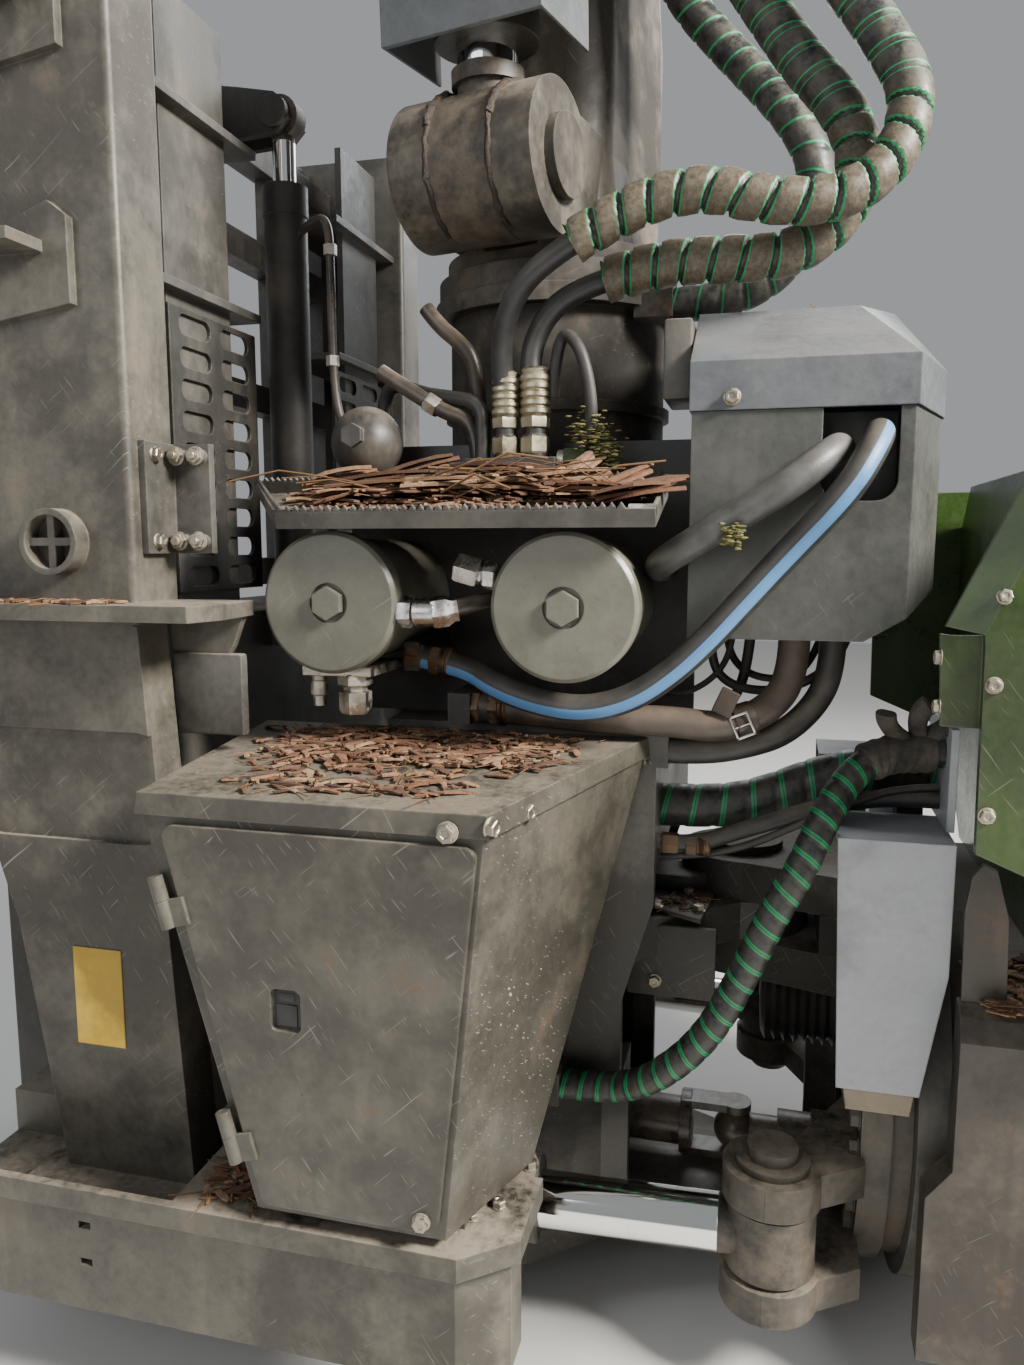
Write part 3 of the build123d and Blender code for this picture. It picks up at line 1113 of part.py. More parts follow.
def cabinet():
    """Hopper cabinet: tapered sheet shell open at the front, with a lipped lid."""
    shell = loft([cabinet_ring(CABINET_FOOT, 0, 0), cabinet_ring(CABINET_TOP, 0, -LID_HEIGHT)],
                 ruled=True)
    shell -= loft([cabinet_ring(CABINET_FOOT, CABINET_WALL, CABINET_WALL),
                   cabinet_ring(CABINET_TOP, CABINET_WALL, -LID_HEIGHT - CABINET_WALL)], ruled=True)
    shell -= plate_xz(DOOR_OPENING, (-CABINET_OUT - CUT, CABINET_WALL + CUT - CABINET_OUT))
    lid = loft([cabinet_ring(CABINET_TOP, -LID_LIP, -LID_HEIGHT),
                cabinet_ring(CABINET_TOP, LID_DRAFT - LID_LIP, 0)], ruled=True)
    box = shell + lid + block(CABINET_BASE_X, CABINET_BASE_Y, (CARRIER_TOP, CABINET_FOOT[0][2]))
    places, way = hinge_frames()
    for middle in places:
        low, split, high = (middle + way * at for at in (-HINGE_FOOT, HINGE_SPLIT[0], HINGE_HEAD))
        plane = Plane(origin=tuple(low), x_dir=(0, 1, 0), z_dir=way)
        box += bar(tuple(low), tuple(split), HINGE_RADIUS)
        box += bar(tuple(low), tuple(high), HINGE_PIN_SMALL)
        box += plane * Pos(HINGE_RADIUS, 0) * Box(2 * HINGE_RADIUS, HINGE_TAB, HINGE_HEAD, align=BASE)
    save(box, "cabinet_right")
    save(left(box), "cabinet_left")


def door():
    """Cabinet door with slanted sides, latch recess and two hinge knuckles."""
    back = -CABINET_OUT - FACE_GAP
    face = back - DOOR_THICKNESS
    sheet = plate_xz(DOOR_OUTLINE, (face, back))
    sheet = fillet(sheet.edges().filter_by(Axis.Y), DOOR_CORNER)
    wall = Plane(origin=(LATCH_AT[0], face, LATCH_AT[1]), z_dir=(0, -1, 0))
    sheet -= extrude(wall * RectangleRounded(*LATCH_SIZE, LATCH_CORNER), -LATCH_DEPTH)
    places, way = hinge_frames()
    for middle in places:
        low, high = middle + way * HINGE_SPLIT[1], middle + way * HINGE_HEAD
        plane = Plane(origin=tuple(low), x_dir=(1, 0, 0), z_dir=way)
        leaf = Pos(*HINGE_LEAF_AT) * Box(*HINGE_LEAF, HINGE_HEAD - HINGE_SPLIT[1], align=BASE)
        sheet += bar(tuple(low), tuple(high), HINGE_RADIUS) + plane * leaf
        sheet -= bar(tuple(low - way * HINGE_RADIUS), tuple(high + way * CUT),
                     HINGE_PIN_SMALL + PIN_CLEARANCE)
    save(sheet, "door_right")
    save(left(sheet), "door_left")


def lug_heights():
    """Z pairs of the three steering lugs: under and over the upper ear, under the lower one."""
    low, high = UPPER_EAR
    foot = LOWER_EAR[0]
    return ((low - FACE_GAP - LUG_THICKNESS, low - FACE_GAP),
            (high + FACE_GAP, high + FACE_GAP + LUG_THICKNESS),
            (foot - FACE_GAP - LOWER_LUG_THICKNESS, foot - FACE_GAP))


def link_flange():
    """Round flange that carries the roll bearing, with a hole for the driveshaft."""
    back, front = FLANGE_X
    flange = bar((back, 0, ROLL_Z), (front, 0, ROLL_Z), FLANGE_RADIUS)
    hole_z = ROLL_Z - FLANGE_HOLE_DROP
    return flange - bar((back, 0, hole_z), (front, 0, hole_z), FLANGE_HOLE_RADIUS)


def cylinder_ears():
    """Pair of ears on the right for the steering rod's eye."""
    x, y = STEER_PIN
    root = FLANGE_X[0] + STEER_EAR_GAP
    outline = ((x + STEER_EAR_BACK[0], y - STEER_EAR_RADIUS), (root, STEER_EAR_ROOT[0]),
               (root, STEER_EAR_ROOT[1]), (x + STEER_EAR_BACK[1], y + STEER_EYE_RADIUS))
    half = STEER_EYE_HALF + STEER_EAR_GAP
    ears = Part()
    for low in (STEER_Z + half, STEER_Z - half - STEER_EAR_THICKNESS):
        z = (low, low + STEER_EAR_THICKNESS)
        ears += plate_xy(outline, z) + post(x, y, z, STEER_EAR_RADIUS)
    return ears


def link_casting():
    """Joint casting: steering lugs, arms, flange and the clevis ears for both cylinders."""
    back = FLANGE_X[0]
    web_back = STEER_X + EAR_RADIUS + LUG_WEB_GAP
    cast = link_flange()
    for z in lug_heights():
        cast += plate_xy(((STEER_X, -LUG_RADIUS), (back, -LUG_ROOT), (back, LUG_ROOT),
                          (STEER_X, LUG_RADIUS)), z)
        cast += post(STEER_X, 0, z, LUG_RADIUS)
    cast += block((web_back, back), (-LUG_WEB_HALF, LUG_WEB_HALF),
                  (UPPER_EAR[0] - CUT, UPPER_EAR[1] + CUT))
    cast += both(block((web_back, back), LOWER_WEB_Y, (lug_heights()[2][0], LOWER_WEB_TOP)))
    cast += both(cylinder_ears())
    for z in lug_heights():
        cast -= post(STEER_X, 0, z, HINGE_PIN_RADIUS)
    save(cast, "link_casting")


def link_pins():
    """Hinge pins of the steering axis with caps, and capped stubs in the cylinder ears."""
    under, over, foot = lug_heights()
    pins = post(STEER_X, 0, (under[0], over[1]), HINGE_PIN_RADIUS)
    pins += post(STEER_X, 0, (over[1], over[1] + HINGE_CAP_HEIGHT), HINGE_CAP_RADIUS)
    pins += post(STEER_X, 0, (foot[0], LOWER_EAR[1]), HINGE_PIN_RADIUS)
    pins += post(STEER_X, 0, (foot[0] - HINGE_FOOT_CAP, foot[0]), HINGE_CAP_RADIUS)
    half = STEER_EYE_HALF + STEER_EAR_GAP + STEER_EAR_THICKNESS
    for radius, height in STEER_CAP:
        pins += both(post(*STEER_PIN, (STEER_Z + half, STEER_Z + half + height), radius))
        pins += both(post(*STEER_PIN, (STEER_Z - half - height, STEER_Z - half), radius))
    save(pins, "link_pins")


def link_shrouds():
    """Sheet shrouds on stays beside the joint, and the bulkhead that the hoses end on."""
    flange = bar((FLANGE_X[0], 0, ROLL_Z), (BEARING_X[1], 0, ROLL_Z), FLANGE_RADIUS)
    back, front = SHROUD_X
    roof = (SHROUD_TOP - SHROUD_SHEET, SHROUD_TOP)
    inner = SHROUD_SHEET - SHROUD_OUT
    cover = plate_xz(((back, SHROUD_TOP), (front, SHROUD_TOP), (front, SHROUD_STEP),
                      (SHROUD_FOOT_X[1], SHROUD_FOOT), (SHROUD_FOOT_X[0], SHROUD_FOOT)),
                     (-SHROUD_OUT, inner))
    cover += block(SHROUD_X, (-SHROUD_OUT, -SHROUD_IN), roof)
    cover += block((front - SHROUD_SHEET, front), (-SHROUD_OUT, -SHROUD_END_IN),
                   (SHROUD_STEP, SHROUD_TOP))
    cover += block(STAY_X, STAY_INNER, (STAY_INNER_LOW, roof[0])) - flange
    cover += block(STAY_X, (inner, -SHROUD_IN), STAY_OUTER_Z) - flange
    low = BULKHEAD_Z[0]
    bulkhead = block((BULKHEAD_X, BULKHEAD_X + BULKHEAD_THICKNESS), BULKHEAD_Y, BULKHEAD_Z)
    bulkhead += block((STAY_X[0], BULKHEAD_X), BULKHEAD_ARM, (low, low + BULKHEAD_THICKNESS))
    bulkhead += block(STAY_X, BULKHEAD_ARM, (STAY_INNER_LOW, low)) - flange
    save(both(cover) + bulkhead, "link_shrouds")


def link_pads():
    """Stacks of pads under the shrouds, each layer a little shorter than the one above."""
    flange = bar((FLANGE_X[0], 0, ROLL_Z), (BEARING_X[1], 0, ROLL_Z), FLANGE_RADIUS)
    stack = Part()
    for row in range(PAD_COUNT):
        high = SHROUD_FOOT - PAD_THICKNESS * row
        stack += block((PAD_X[0] + row, PAD_X[1] - row), (-SHROUD_OUT, PAD_WIDTH - SHROUD_OUT),
                       (high - PAD_THICKNESS, high))
    save(both(stack - flange), "link_pads")


def roll_bearing():
    """Roll bearing ring bolted to the joint casting's flange."""
    back, front = BEARING_X
    ring = pipe((back, 0, ROLL_Z), (front, 0, ROLL_Z), BEARING_RADIUS, BEARING_BORE)
    save(ring, "bearing_ring")


def bearing_housing():
    """Ring on the front frame that turns round the roll axis, with its neck."""
    back, front = HOUSING_X
    housing = pipe((back, 0, ROLL_Z), (front, 0, ROLL_Z), HOUSING_RADIUS, HOUSING_BORE)
    housing += pipe((front, 0, ROLL_Z), (FRONT_START, 0, ROLL_Z), HOUSING_NECK, HOUSING_BORE)
    save(housing, "bearing_housing")


def front_profile():
    """Cross-section of the front frame as (y, z), rounded at both upper shoulders."""
    right = [(-FRONT_HALF, FRONT_BOTTOM)]
    for reach, drop in FRONT_SHOULDER:
        right.append((reach - FRONT_HALF, FRONT_TOP - drop))
    return (*right, *((-y, z) for y, z in reversed(right)))


def front_frame():
    """Box stub with cheeks beside the bearing, an end plate and an upright plate each side."""
    wall = FRONT_WALL
    shell = plate_yz(front_profile(), (FRONT_START, FRONT_END))
    shell -= block((FRONT_START, FRONT_END - wall), (wall - FRONT_HALF, FRONT_HALF - wall),
                   (FRONT_BOTTOM + wall, FRONT_TOP - FRONT_SHOULDER[0][1]))
    reach = plate_yz(front_profile(), (CHEEK[0][0], FRONT_START))
    cheek = plate_xz(CHEEK, (-FRONT_HALF, -CHEEK_IN)) & reach
    fender = plate_xz(FENDER, FENDER_Y)
    save(shell + both(cheek + fender), "front_frame_stub")


def cover():
    """Green side sheet with a tilted strip along its slanted edge and a flange behind it."""
    inner = COVER_SHEET - COVER_OUT
    panel = plate_xz(COVER_PANEL, (-COVER_OUT, inner))
    low, high = (Vector(x, -COVER_OUT, z) for x, z in (COVER_PANEL[-1], COVER_PANEL[-2]))
    foot = Vector(BEVEL_FOOT[0], BEVEL_DEPTH - COVER_OUT, BEVEL_FOOT[1])
    share = (COVER_TOP - foot.Z) / (high.Z - low.Z)
    edge = (low, high, foot + (high - low) * share, foot)
    strip = Solid.extrude(polygon([tuple(point) for point in edge]), Vector(0, BEVEL_SHEET, 0))
    flange = plate_xz(COVER_FLANGE, (inner, inner + COVER_FLANGE_SHEET))
    flange += plate_xz(COVER_LATCH, (inner, inner + COVER_LATCH_SHEET))
    save(panel + strip + flange, "cover_right")
    save(left(panel + strip + flange), "cover_left")


def hood():
    """Green hood that stands on the front frame and carries the side sheets."""
    side = COVER_OUT - COVER_SHEET
    top = COVER_TOP + HOOD_RISE
    right = ((-FRONT_HALF, FRONT_TOP), (-side, HOOD_SLOPE_Z), (-side, COVER_TOP - HOOD_SHOULDER),
             (HOOD_SHOULDER - side, top))
    profile = (*right, *((-y, z) for y, z in reversed(right)))
    save(plate_yz(profile, (HOOD_BACK, FRONT_END)), "engine_hood")


def driveshaft():
    """Driveshaft in two lengths that meet at a universal joint on the steering axis."""
    centre = (STEER_X, 0, SHAFT_Z)
    rear = bar((SHAFT_BEARING_X, 0, SHAFT_Z), (SHAFT_REAR_END, 0, SHAFT_Z), SHAFT_RADIUS)
    for back, front in SHAFT_COLLARS:
        rear += bar((back, 0, SHAFT_Z), (front, 0, SHAFT_Z), SHAFT_COLLAR_RADIUS)
    reach = SHAFT_BALL + YOKE_GAP
    for low in (SHAFT_Z - reach - YOKE_SHEET, SHAFT_Z + reach):
        z = (low, low + YOKE_SHEET)
        rear += block((YOKE_BACK, STEER_X), (-YOKE_HALF, YOKE_HALF), z)
        rear += post(STEER_X, 0, z, YOKE_RADIUS)
    save(rear, "driveshaft_rear")
    neck, neck_end = SHAFT_NECK
    front = Pos(*centre) * Sphere(SHAFT_BALL)
    front += bar(centre, (neck_end, 0, SHAFT_Z), neck)
    front += bar((SHAFT_FRONT[0], 0, SHAFT_Z), (SHAFT_FRONT[1], 0, SHAFT_Z), SHAFT_RADIUS)
    save(front, "driveshaft_front")


def steer_point(along):
    """Point on the right steering cylinder's centre line, measured from its base pin."""
    run = Vector(STEER_PIN[0] - STEER_BASE[0], STEER_PIN[1] - STEER_BASE[1], 0).normalized()
    return (STEER_BASE[0] + run.X * along, STEER_BASE[1] + run.Y * along, STEER_Z)


def steer_barrel():
    """Barrel with its base eye, bored for the rod and its gland."""
    low, high = STEER_Z - BASE_EYE_HALF, STEER_Z + BASE_EYE_HALF
    gland = STEER_GLAND_AT - STEER_GLAND_LENGTH
    floor = STEER_BARREL_FROM + STEER_BARREL_END_WALL
    barrel = post(*STEER_BASE, (low, high), BASE_EYE_RADIUS)
    barrel += bar(steer_point(0), steer_point(STEER_NECK_TO), BASE_EYE_HALF)
    barrel += bar(steer_point(STEER_BARREL_FROM), steer_point(STEER_GLAND_AT), STEER_BARREL_RADIUS)
    barrel -= post(*STEER_BASE, (low, high), BASE_PIN_RADIUS + PIN_CLEARANCE)
    barrel -= bar(steer_point(floor), steer_point(gland), STEER_BORE_RADIUS)
    barrel -= bar(steer_point(gland - CUT), steer_point(STEER_GLAND_AT + CUT),
                  STEER_ROD_RADIUS + PIN_CLEARANCE)
    save(barrel, "steer_barrel_right")
    save(left(barrel), "steer_barrel_left")


def steer_rod():
    """Rod with the front eye."""
    low, high = STEER_Z - STEER_EYE_HALF, STEER_Z + STEER_EYE_HALF
    length = math.hypot(STEER_PIN[0] - STEER_BASE[0], STEER_PIN[1] - STEER_BASE[1])
    rod = bar(steer_point(STEER_ROD_TIP_AT), steer_point(length), STEER_ROD_RADIUS)
    rod += post(*STEER_PIN, (low, high), STEER_EYE_RADIUS)
    rod -= post(*STEER_PIN, (low, high), STEER_EYE_BORE)
    save(rod, "steer_rod_right")
    save(left(rod), "steer_rod_left")


def bracket_end(name):
    """Last two points of a crane hose, straight up to the king post's bracket."""
    if name not in BRACKET_PORTS:
        return ()
    along, outward = BRACKET_PORTS[name]
    return (king_frame(along, outward, BRACKET_Z - PORT_RUN), king_frame(along, outward, BRACKET_Z))


def hose(name, diameter, points):
    """Tube along straight runs joined by arcs as large as the runs allow."""
    corners = [Vector(*point) for point in points]
    radii = []
    for before, corner, after in zip(corners, corners[1:], corners[2:]):
        into, out = corner - before, after - corner
        half_turn = math.radians(into.get_angle(out)) / 2
        radii.append(BEND_SHARE * min(into.length, out.length) / math.tan(half_turn))
    path = FilletPolyline(*points, radius=radii)
    tube = sweep(Plane(origin=path @ 0, z_dir=path % 0) * Circle(diameter / 2), path=path)
    print(name, "length", round(path.length), "least radius", round(min(radii)),
          "in diameters", round(min(radii) / diameter, 1))
    save(tube, name)


for make in (rear_frame, frame_head, carrier, gate_post, gate_frame, gate_screen, wear_pads,
             gate_cylinder, gate_slide, crane_foot, king_post, lift_rod, lift_barrel, lift_guard,
             valve_box, valve_lid, filters, filter_stand, tray, accumulator, steel_pipes, cabinet,
             door, link_casting, link_pins, link_shrouds, link_pads, roll_bearing,
             bearing_housing, front_frame, cover, hood, driveshaft, steer_barrel, steer_rod):
    make()
for title, width, way in HOSES:
    hose(title, width, way + bracket_end(title))
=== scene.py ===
"""Dressed centre section of a forestry forwarder: camera, hoses, materials, small parts, bark.

Metres, in the machine's frame: +X front, +Y left side, +Z up.
"""

import functools
import math
import random

import bmesh
import bpy
from mathutils import Matrix, Vector
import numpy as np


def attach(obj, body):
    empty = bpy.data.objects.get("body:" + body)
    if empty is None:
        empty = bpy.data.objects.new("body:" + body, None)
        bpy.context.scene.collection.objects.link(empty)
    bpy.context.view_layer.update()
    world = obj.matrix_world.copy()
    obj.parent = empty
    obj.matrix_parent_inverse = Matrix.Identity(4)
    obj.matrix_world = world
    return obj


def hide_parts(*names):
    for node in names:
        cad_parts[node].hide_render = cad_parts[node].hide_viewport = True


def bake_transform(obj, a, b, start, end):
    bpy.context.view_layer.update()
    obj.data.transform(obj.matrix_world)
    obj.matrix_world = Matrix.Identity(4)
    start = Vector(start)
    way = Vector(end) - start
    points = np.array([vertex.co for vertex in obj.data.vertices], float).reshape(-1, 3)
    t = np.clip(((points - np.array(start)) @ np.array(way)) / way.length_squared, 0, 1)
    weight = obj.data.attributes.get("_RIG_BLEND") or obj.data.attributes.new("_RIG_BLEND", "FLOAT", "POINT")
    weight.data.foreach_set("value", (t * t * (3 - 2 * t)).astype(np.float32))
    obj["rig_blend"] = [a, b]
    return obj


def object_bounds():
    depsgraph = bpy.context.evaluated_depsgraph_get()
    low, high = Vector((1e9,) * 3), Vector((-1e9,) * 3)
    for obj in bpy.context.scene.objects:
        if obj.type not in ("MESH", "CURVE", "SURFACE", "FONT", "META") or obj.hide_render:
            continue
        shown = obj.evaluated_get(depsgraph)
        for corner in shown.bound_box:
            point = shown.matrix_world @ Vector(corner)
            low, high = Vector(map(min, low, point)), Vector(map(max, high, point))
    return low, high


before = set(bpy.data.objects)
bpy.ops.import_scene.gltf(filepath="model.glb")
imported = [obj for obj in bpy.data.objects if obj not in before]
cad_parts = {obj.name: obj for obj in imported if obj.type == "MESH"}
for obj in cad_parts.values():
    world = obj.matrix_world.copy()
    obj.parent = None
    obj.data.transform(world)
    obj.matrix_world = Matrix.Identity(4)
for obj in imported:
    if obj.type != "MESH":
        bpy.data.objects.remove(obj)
cad_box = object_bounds()

CAMERA_AT = (1.230, -1.650, 0.750)
CAMERA_YAW = 14.5
CAMERA_PITCH = 7.7
SENSOR = 36
FOCAL_PIXELS = 1000
PHOTO_HEIGHT = 1365


def aimed(name, data, place, look):
    """Camera or light at a place, looking along a direction."""
    obj = bpy.data.objects.new(name, data)
    obj.location = place
    obj.rotation_euler = look.to_track_quat("-Z", "Y").to_euler()
    bpy.context.scene.collection.objects.link(obj)
    return obj


camera = bpy.data.cameras.new("camera")
camera.sensor_width = SENSOR
camera.lens = FOCAL_PIXELS / PHOTO_HEIGHT * SENSOR
camera.clip_start = 0.01
yaw, pitch = math.radians(CAMERA_YAW), math.radians(CAMERA_PITCH)
look = Vector((-math.sin(yaw) * math.cos(pitch), math.cos(yaw) * math.cos(pitch), -math.sin(pitch)))
bpy.context.scene.camera = aimed("camera", camera, CAMERA_AT, look)


# ---- mesh helpers

def from_bm(name, bm, material, body, sharp=35):
    """Shown piece on a body from a filled mesh, smooth apart from its sharp edges."""
    mesh = bpy.data.meshes.new(name)
    bmesh.ops.recalc_face_normals(bm, faces=bm.faces)
    bm.to_mesh(mesh)
    bm.free()
    mesh.polygons.foreach_set("use_smooth", [True] * len(mesh.polygons))
    mesh.set_sharp_from_angle(angle=math.radians(sharp))
    mesh.materials.append(material)
    obj = bpy.data.objects.new(name, mesh)
    bpy.context.scene.collection.objects.link(obj)
    if body:
        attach(obj, body)
    return obj


def across(axis):
    """Two directions square to an axis and to each other."""
    axis = Vector(axis).normalized()
    helper = Vector((0, 0, 1)) if abs(axis.z) < 0.9 else Vector((1, 0, 0))
    first = helper.cross(axis).normalized()
    return first, axis.cross(first).normalized()


def skin(bm, rings, caps=True):
    """Faces between rings of vertices, the ends filled with caps; a ring may be a single point."""
    faces = []
    for low, high in zip(rings, rings[1:]):
        for k in range(max(len(low), len(high))):
            corners = [ring[j % len(ring)] for ring, j in ((low, k), (low, k + 1), (high, k + 1), (high, k))]
            faces.append(bm.faces.new(list(dict.fromkeys(corners))))
    if caps:
        bm.faces.new(list(reversed(rings[0])))
        bm.faces.new(rings[-1])
    return faces


def swung(first, second, angle):
    """Direction at an angle from the first towards the second."""
    return first * math.cos(angle) + second * math.sin(angle)


def lathe(bm, at, axis, profile, sides=24, turn=0.0):
    """Turned form: profile is (radius, height along the axis), closed at radius 0."""
    at, axis = Vector(at), Vector(axis).normalized()
    first, second = across(axis)
    rings = []
    for radius, height in profile:
        centre = at + axis * height
        rings.append([bm.verts.new(centre + swung(first, second, turn + 2 * math.pi * k / sides) * radius)
                      for k in range(sides if radius else 1)])
    skin(bm, rings, caps=False)


def hex_bolt(bm, at, axis, size, turn=0.0, nut=False):
    """Flanged hexagon head or nut; size is the distance across its corners."""
    radius = size / 2
    lathe(bm, at, axis, ((0, 0), (radius * 1.16, 0), (radius * 1.16, size * 0.06),
                         (radius * 1.02, size * 0.10), (0, size * 0.10)), 24)
    top = size * (0.42 if nut else 0.5)
    lathe(bm, at, axis, ((0, size * 0.1), (radius, size * 0.1), (radius, top - size * 0.05),
                         (radius * 0.84, top), (radius * 0.5, top), (radius * 0.4, top - size * 0.05),
                         (0, top - size * 0.05)), 6, turn)
    if nut:
        lathe(bm, at, axis, ((0, top), (radius * 0.55, top), (radius * 0.55, top + size * 0.16),
                             (radius * 0.48, top + size * 0.2), (0, top + size * 0.2)), 16)


def soften(bm, edges, bevel):
    if bevel:
        bmesh.ops.bevel(bm, geom=list(edges), offset=bevel, segments=2, affect="EDGES", profile=0.5)


def slab(bm, low, high, bevel=0.0015, turn=None):
    """Box between two corners with rounded edges; turn is (angle in degrees, axis)."""
    low, high = Vector(low), Vector(high)
    middle = (low + high) / 2
    matrix = Matrix.Translation(middle)
    if turn:
        matrix = matrix @ Matrix.Rotation(math.radians(turn[0]), 4, turn[1])
    matrix = matrix @ Matrix.Diagonal((*(high - low), 1))
    made = bmesh.ops.create_cube(bm, size=1, matrix=matrix)
    soften(bm, {edge for vert in made["verts"] for edge in vert.link_edges}, bevel)


def prism(bm, outline, shift, bevel=0.0):
    """Flat outline of 3-D points pushed along a vector."""
    shift = Vector(shift)
    low = [bm.verts.new(Vector(point)) for point in outline]
    high = [bm.verts.new(Vector(point) + shift) for point in outline]
    faces = [bm.faces.new(low), bm.faces.new(list(reversed(high)))]
    for k in range(len(low)):
        j = (k + 1) % len(low)
        faces.append(bm.faces.new((low[j], low[k], high[k], high[j])))
    soften(bm, {edge for face in faces for edge in face.edges}, bevel)


def spline_line(route, resolution):
    """Points of the NURBS spline that has the route as its control points."""
    curve = bpy.data.curves.new("line", "CURVE")
    curve.dimensions = "3D"
    spline = curve.splines.new("NURBS")
    spline.points.add(len(route) - 1)
    for point, place in zip(spline.points, route):
        point.co = (*place, 1)
    spline.order_u = 3
    spline.use_endpoint_u = True
    spline.resolution_u = resolution
    obj = bpy.data.objects.new("line", curve)
    bpy.context.scene.collection.objects.link(obj)
    mesh = bpy.data.meshes.new_from_object(obj)
    points = [vert.co.copy() for vert in mesh.vertices]
    bpy.data.objects.remove(obj)
    bpy.data.meshes.remove(mesh)
    return points


def tube(bm, points, radius, sides, from_end=False):
    """Tube along points with a UV map of (turn, metres along); radius is a function of both.

    Turn 0 looks to -Y at the tube's start, or at its end. Gives the length and way at each point.
    """
    lengths = [0.0]
    for a, b in zip(points, points[1:]):
        lengths.append(lengths[-1] + (b - a).length)
    last = len(points) - 1
    tangents = [(points[min(k + 1, last)] - points[max(k - 1, 0)]).normalized() for k in range(last + 1)]
    normal = Vector((0, -1, 0))
    frames = [normal] * (last + 1)
    for k in range(last, -1, -1) if from_end else range(last + 1):
        normal = (normal - tangents[k] * normal.dot(tangents[k])).normalized()
        frames[k] = normal
    uv_layer = bm.loops.layers.uv.verify()
    rings = []
    for point, tangent, normal, along in zip(points, tangents, frames, lengths):
        side = tangent.cross(normal)
        rings.append([bm.verts.new(point + swung(normal, side, 2 * math.pi * k / sides)
                                   * radius(k / sides, along)) for k in range(sides)])
    for index, face in enumerate(skin(bm, rings)):
        row, k = divmod(index, sides)
        for loop, (turn, at) in zip(face.loops, ((k, row), (k + 1, row), (k + 1, row + 1), (k, row + 1))):
            loop[uv_layer].uv = (turn / sides, lengths[at])
    return lengths, tangents


# ---- materials

WARP_SHARE = 0.06
EDGE_SAMPLES = 2
DUST = (0.255, 0.215, 0.165)
RUST = (0.115, 0.058, 0.028)
SOIL = (0.022, 0.018, 0.014)
WEAR = (0.46, 0.45, 0.41)
STAIN = (0.12, 0.07, 0.035)
GUARD = (0.014, 0.015, 0.014)
GUARD_DUST = (0.17, 0.14, 0.1)
GUARD_GREEN = (0.010, 0.27, 0.095)
BAND_SHARE = 0.80
# Scratches: scale of the noise, turn, least value that shows
SCRATCHES = (((620, 90, 4.4), (0.3, 0.62, 0.1), 0.715), ((520, 90, 6.5), (0.2, -0.95, 0.4), 0.725))


def shade(colour, share):
    """Darker or lighter colour."""
    return tuple(value * share for value in colour)


